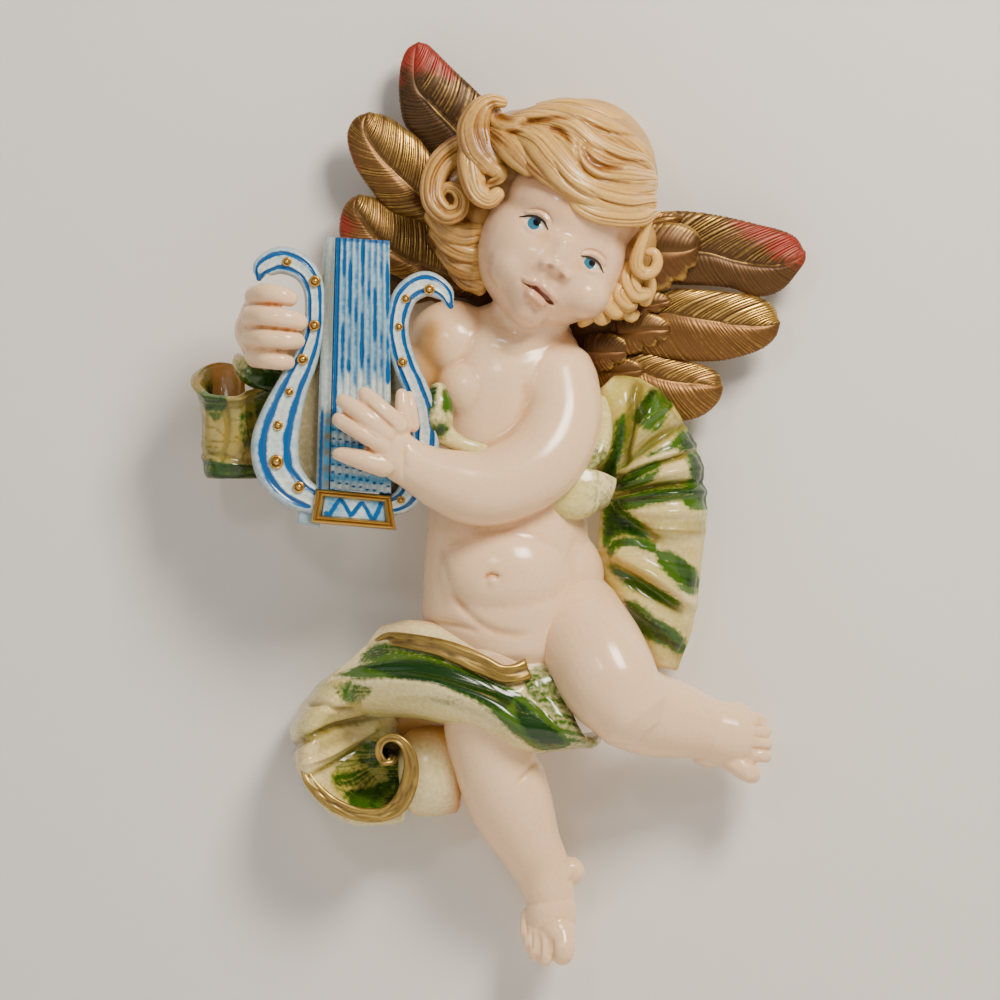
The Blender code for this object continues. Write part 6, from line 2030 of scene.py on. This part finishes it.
for name, first, shaft, second, tone in (
    (
        "right_covert_2", [(40, 15, 16), (47, 17.5, 17.4), (52, 18.4, 17.6), (56, 18.4, 16.6),
            (58.2, 18, 14.6)], [(40, 16, 10), (48, 19, 12), (54, 19.4, 13), (58.2, 18, 14.6)],
        [(40, 15, 4), (46, 17.5, 8), (50, 18.6, 8.6), (51.4, 18.4, 10.8), (54.4, 18.4, 10.4),
            (55.6, 18, 12.8), (58, 18, 12.6), (58.2, 18, 14.6)], 0.6,
    ),
    (
        "right_covert_3", [(38, 16, 8), (44, 18.4, 9.6), (50, 19.2, 9.8), (54.6, 19, 8.6), (57.6, 18.4, 6),
            (57.8, 18.2, 3.6)], [(38, 16, 2), (46, 19.4, 3), (52, 19.8, 3.4), (57.8, 18.2, 3.6)],
        [(38, 15, -6), (44, 17.6, -5), (47.4, 18.4, -4), (48.6, 18.2, -1.8), (52, 18.6, -2.4),
            (53.4, 18.4, -0.2), (56.4, 18.4, 0.2), (57.8, 18.2, 3.6)], 0.5,
    ),
    (
        "right_covert_4", [(26, 14, 2), (34, 17, 3), (40, 18, 1.6), (43, 17.6, -1.6), (42.6, 17, -4)],
        [(26, 15, -4), (34, 17.4, -4.4), (42.6, 17, -4)],
        [(26, 13, -12), (33, 15.6, -11.6), (37, 16.4, -10.4), (38, 16.2, -8.4), (41, 16.6, -8),
            (42, 16.8, -6), (42.6, 17, -4)], 0.75,
    ),
    (
        "right_covert_5", [(34, 13, -7), (41, 15.6, -6.4), (46, 16.2, -7.6), (48.6, 15.8, -10.6)],
        [(34, 13, -12), (42, 15.8, -11.4), (48.6, 15.8, -10.6)],
        [(34, 12, -18), (40, 14.4, -17), (43, 15.2, -15.6), (44.4, 15.2, -13.8), (47, 15.6, -13.4),
            (48.6, 15.8, -10.6)], 0.5,
    ),
):
    feather(
        name, "right_wing", first, shaft, second, pitch=(1.2, 1.2), depth=(0.2, 0.2), lean=(1.2, 1.2),
        gild=(0.2, 0.2), rim_highlight=0.9, dark=tone, lobes=(0.9, 0.9),
        shaft_end=0.1, shaft_height=0.0, thick=1.8,
    )

# %% [markdown]
# ## Wing roots
#
# A lump behind the shoulder holds the feathers of each wing together. It is dark brown all over as painted
# shade, and shows from the front only between hair and shoulder.

# %% Roots
for name, node, lumps in (
    ("left_wing_root", "left_wing", [((-15, 7, 44), (13, 9, 26)), ((-22, 8, 26), (16, 8, 10)),
        ((-36, 8, 20), (12, 6, 7)), ((-14, 6, 62), (9, 7, 12)), ((-14, 7, 14), (13, 7, 13))]),
    ("right_wing_root", "right_wing", [((32, 8, 14), (16, 9, 20)), ((34, 8, -2), (14, 9, 11)),
        ((44, 9, 26), (12, 7, 12)), ((46, 9, 4), (12, 7, 8))]),
):
    clay = bmesh.new()
    for centre, radii in lumps:
        ball(clay, centre, radii)
    root = melted(name, clay, 1.4, 6, wall=AT_REST)
    points = read(thinned(root, 0.6))
    # Dark all over: painted shade in the gap between hair and shoulder.
    mark(
        root, dark=0.75 + 0.2 * np.sin(points[:, 0] * 0.7), gild=0 * points[:, 0], copper=0 * points[:, 0],
        red=0 * points[:, 0], back=points[:, 1] < 1
    )
    finish_piece(root, GOLD, node)

# %% [markdown]
# ## Stage, light and camera
#
# The plaque hangs on a pale wall, lit as on a table near a window. A warm key from the upper right gives
# the soft shadow at the left, a small lamp the catch-lights on the glaze, a wide one fills, and one behind
# shows the back. The wall is clear from behind and stops no light, so that the back can be looked at. The
# camera stands far off, as a long lens does, to keep the outline as drawn.

# %% Stage, light and camera
def backdrop_material(name, hue, one_sided):
    material = bpy.data.materials.new(name)
    material.use_nodes = True
    tree = material.node_tree
    shader = tree.nodes["Principled BSDF"]
    shader.inputs["Base Color"].default_value = linear(hue)
    shader.inputs["Roughness"].default_value = 0.8
    if one_sided:
        facing = add_node(tree, "ShaderNodeNewGeometry").outputs["Backfacing"]
        through_it = add_node(tree, "ShaderNodeBsdfTransparent").outputs[0]
        mixed = add_node(tree, "ShaderNodeMixShader", {0: facing, 1: shader.outputs[0], 2: through_it})
        tree.links.new(mixed.outputs[0], tree.nodes["Material Output"].inputs["Surface"])
    return material


def sheet_of(name, corners, material):
    mesh = bpy.data.meshes.new(name)
    mesh.from_pydata(corners, [], [(0, 1, 2, 3)])
    mesh.materials.append(material)
    obj = shown(name, mesh)
    return obj


WALL_HALF, WALL_TOP, WALL_BEHIND, FLOOR_HALF, FLOOR_DROP = 1.6, 1.3, 0.002, 3, 0.32  # metres
wall = sheet_of(
    "wall",
    [
        (-WALL_HALF, WALL_BEHIND, -FLOOR_DROP), (WALL_HALF, WALL_BEHIND, -FLOOR_DROP),
        (WALL_HALF, WALL_BEHIND, WALL_TOP), (-WALL_HALF, WALL_BEHIND, WALL_TOP),
    ],
    backdrop_material("pale_wall", "#D9D7D4", True),
)
wall.visible_shadow = False
sheet_of(
    "floor",
    [(x * FLOOR_HALF, y * FLOOR_HALF, -FLOOR_DROP) for x, y in ((-1, -1), (1, -1), (1, 1), (-1, 1))],
    backdrop_material("pale_floor", "#DAD8D5", False),
)


MIDDLE = (-0.0036, -0.022, -0.0576)


def soft_light(name, spot, size, power, hue="#FFFFFF"):
    lamp = bpy.data.lights.new(name, "AREA")
    lamp.size, lamp.energy, lamp.color = size, power, linear(hue)[:3]
    obj = bpy.data.objects.new(name, lamp)
    obj.location = spot
    obj.rotation_euler = (Vector(MIDDLE) - Vector(spot)).to_track_quat("-Z", "Y").to_euler()
    bpy.context.scene.collection.objects.link(obj)


soft_light("key", (0.45, -0.75, 0.65), 0.34, 18.6, "#FFF4E4")
soft_light("window", (-0.3, -1.1, 0.42), 0.13, 1.7, "#FFFAF2")
soft_light("fill", (-0.9, -0.9, 0.2), 1.0, 2.4, "#F6F6FA")
soft_light("rear", (0.5, 1.7, 0.3), 1.2, 24)
world = bpy.data.worlds.new("studio")
bpy.context.scene.world = world
world.use_nodes = True
world.node_tree.nodes["Background"].inputs["Color"].default_value = linear("#F0EEEA")
world.node_tree.nodes["Background"].inputs["Strength"].default_value = 0.165

DISTANCE, FRAME_WIDTH = 3.0, 0.360
lens = bpy.data.cameras.new("camera")
lens.sensor_width = 36
lens.lens = lens.sensor_width * DISTANCE / FRAME_WIDTH
camera = bpy.data.objects.new("camera", lens)
camera.location = (MIDDLE[0], MIDDLE[1] - DISTANCE, MIDDLE[2])
camera.rotation_euler = (np.radians(90), 0, 0)
bpy.context.scene.collection.objects.link(camera)
bpy.context.scene.camera = camera
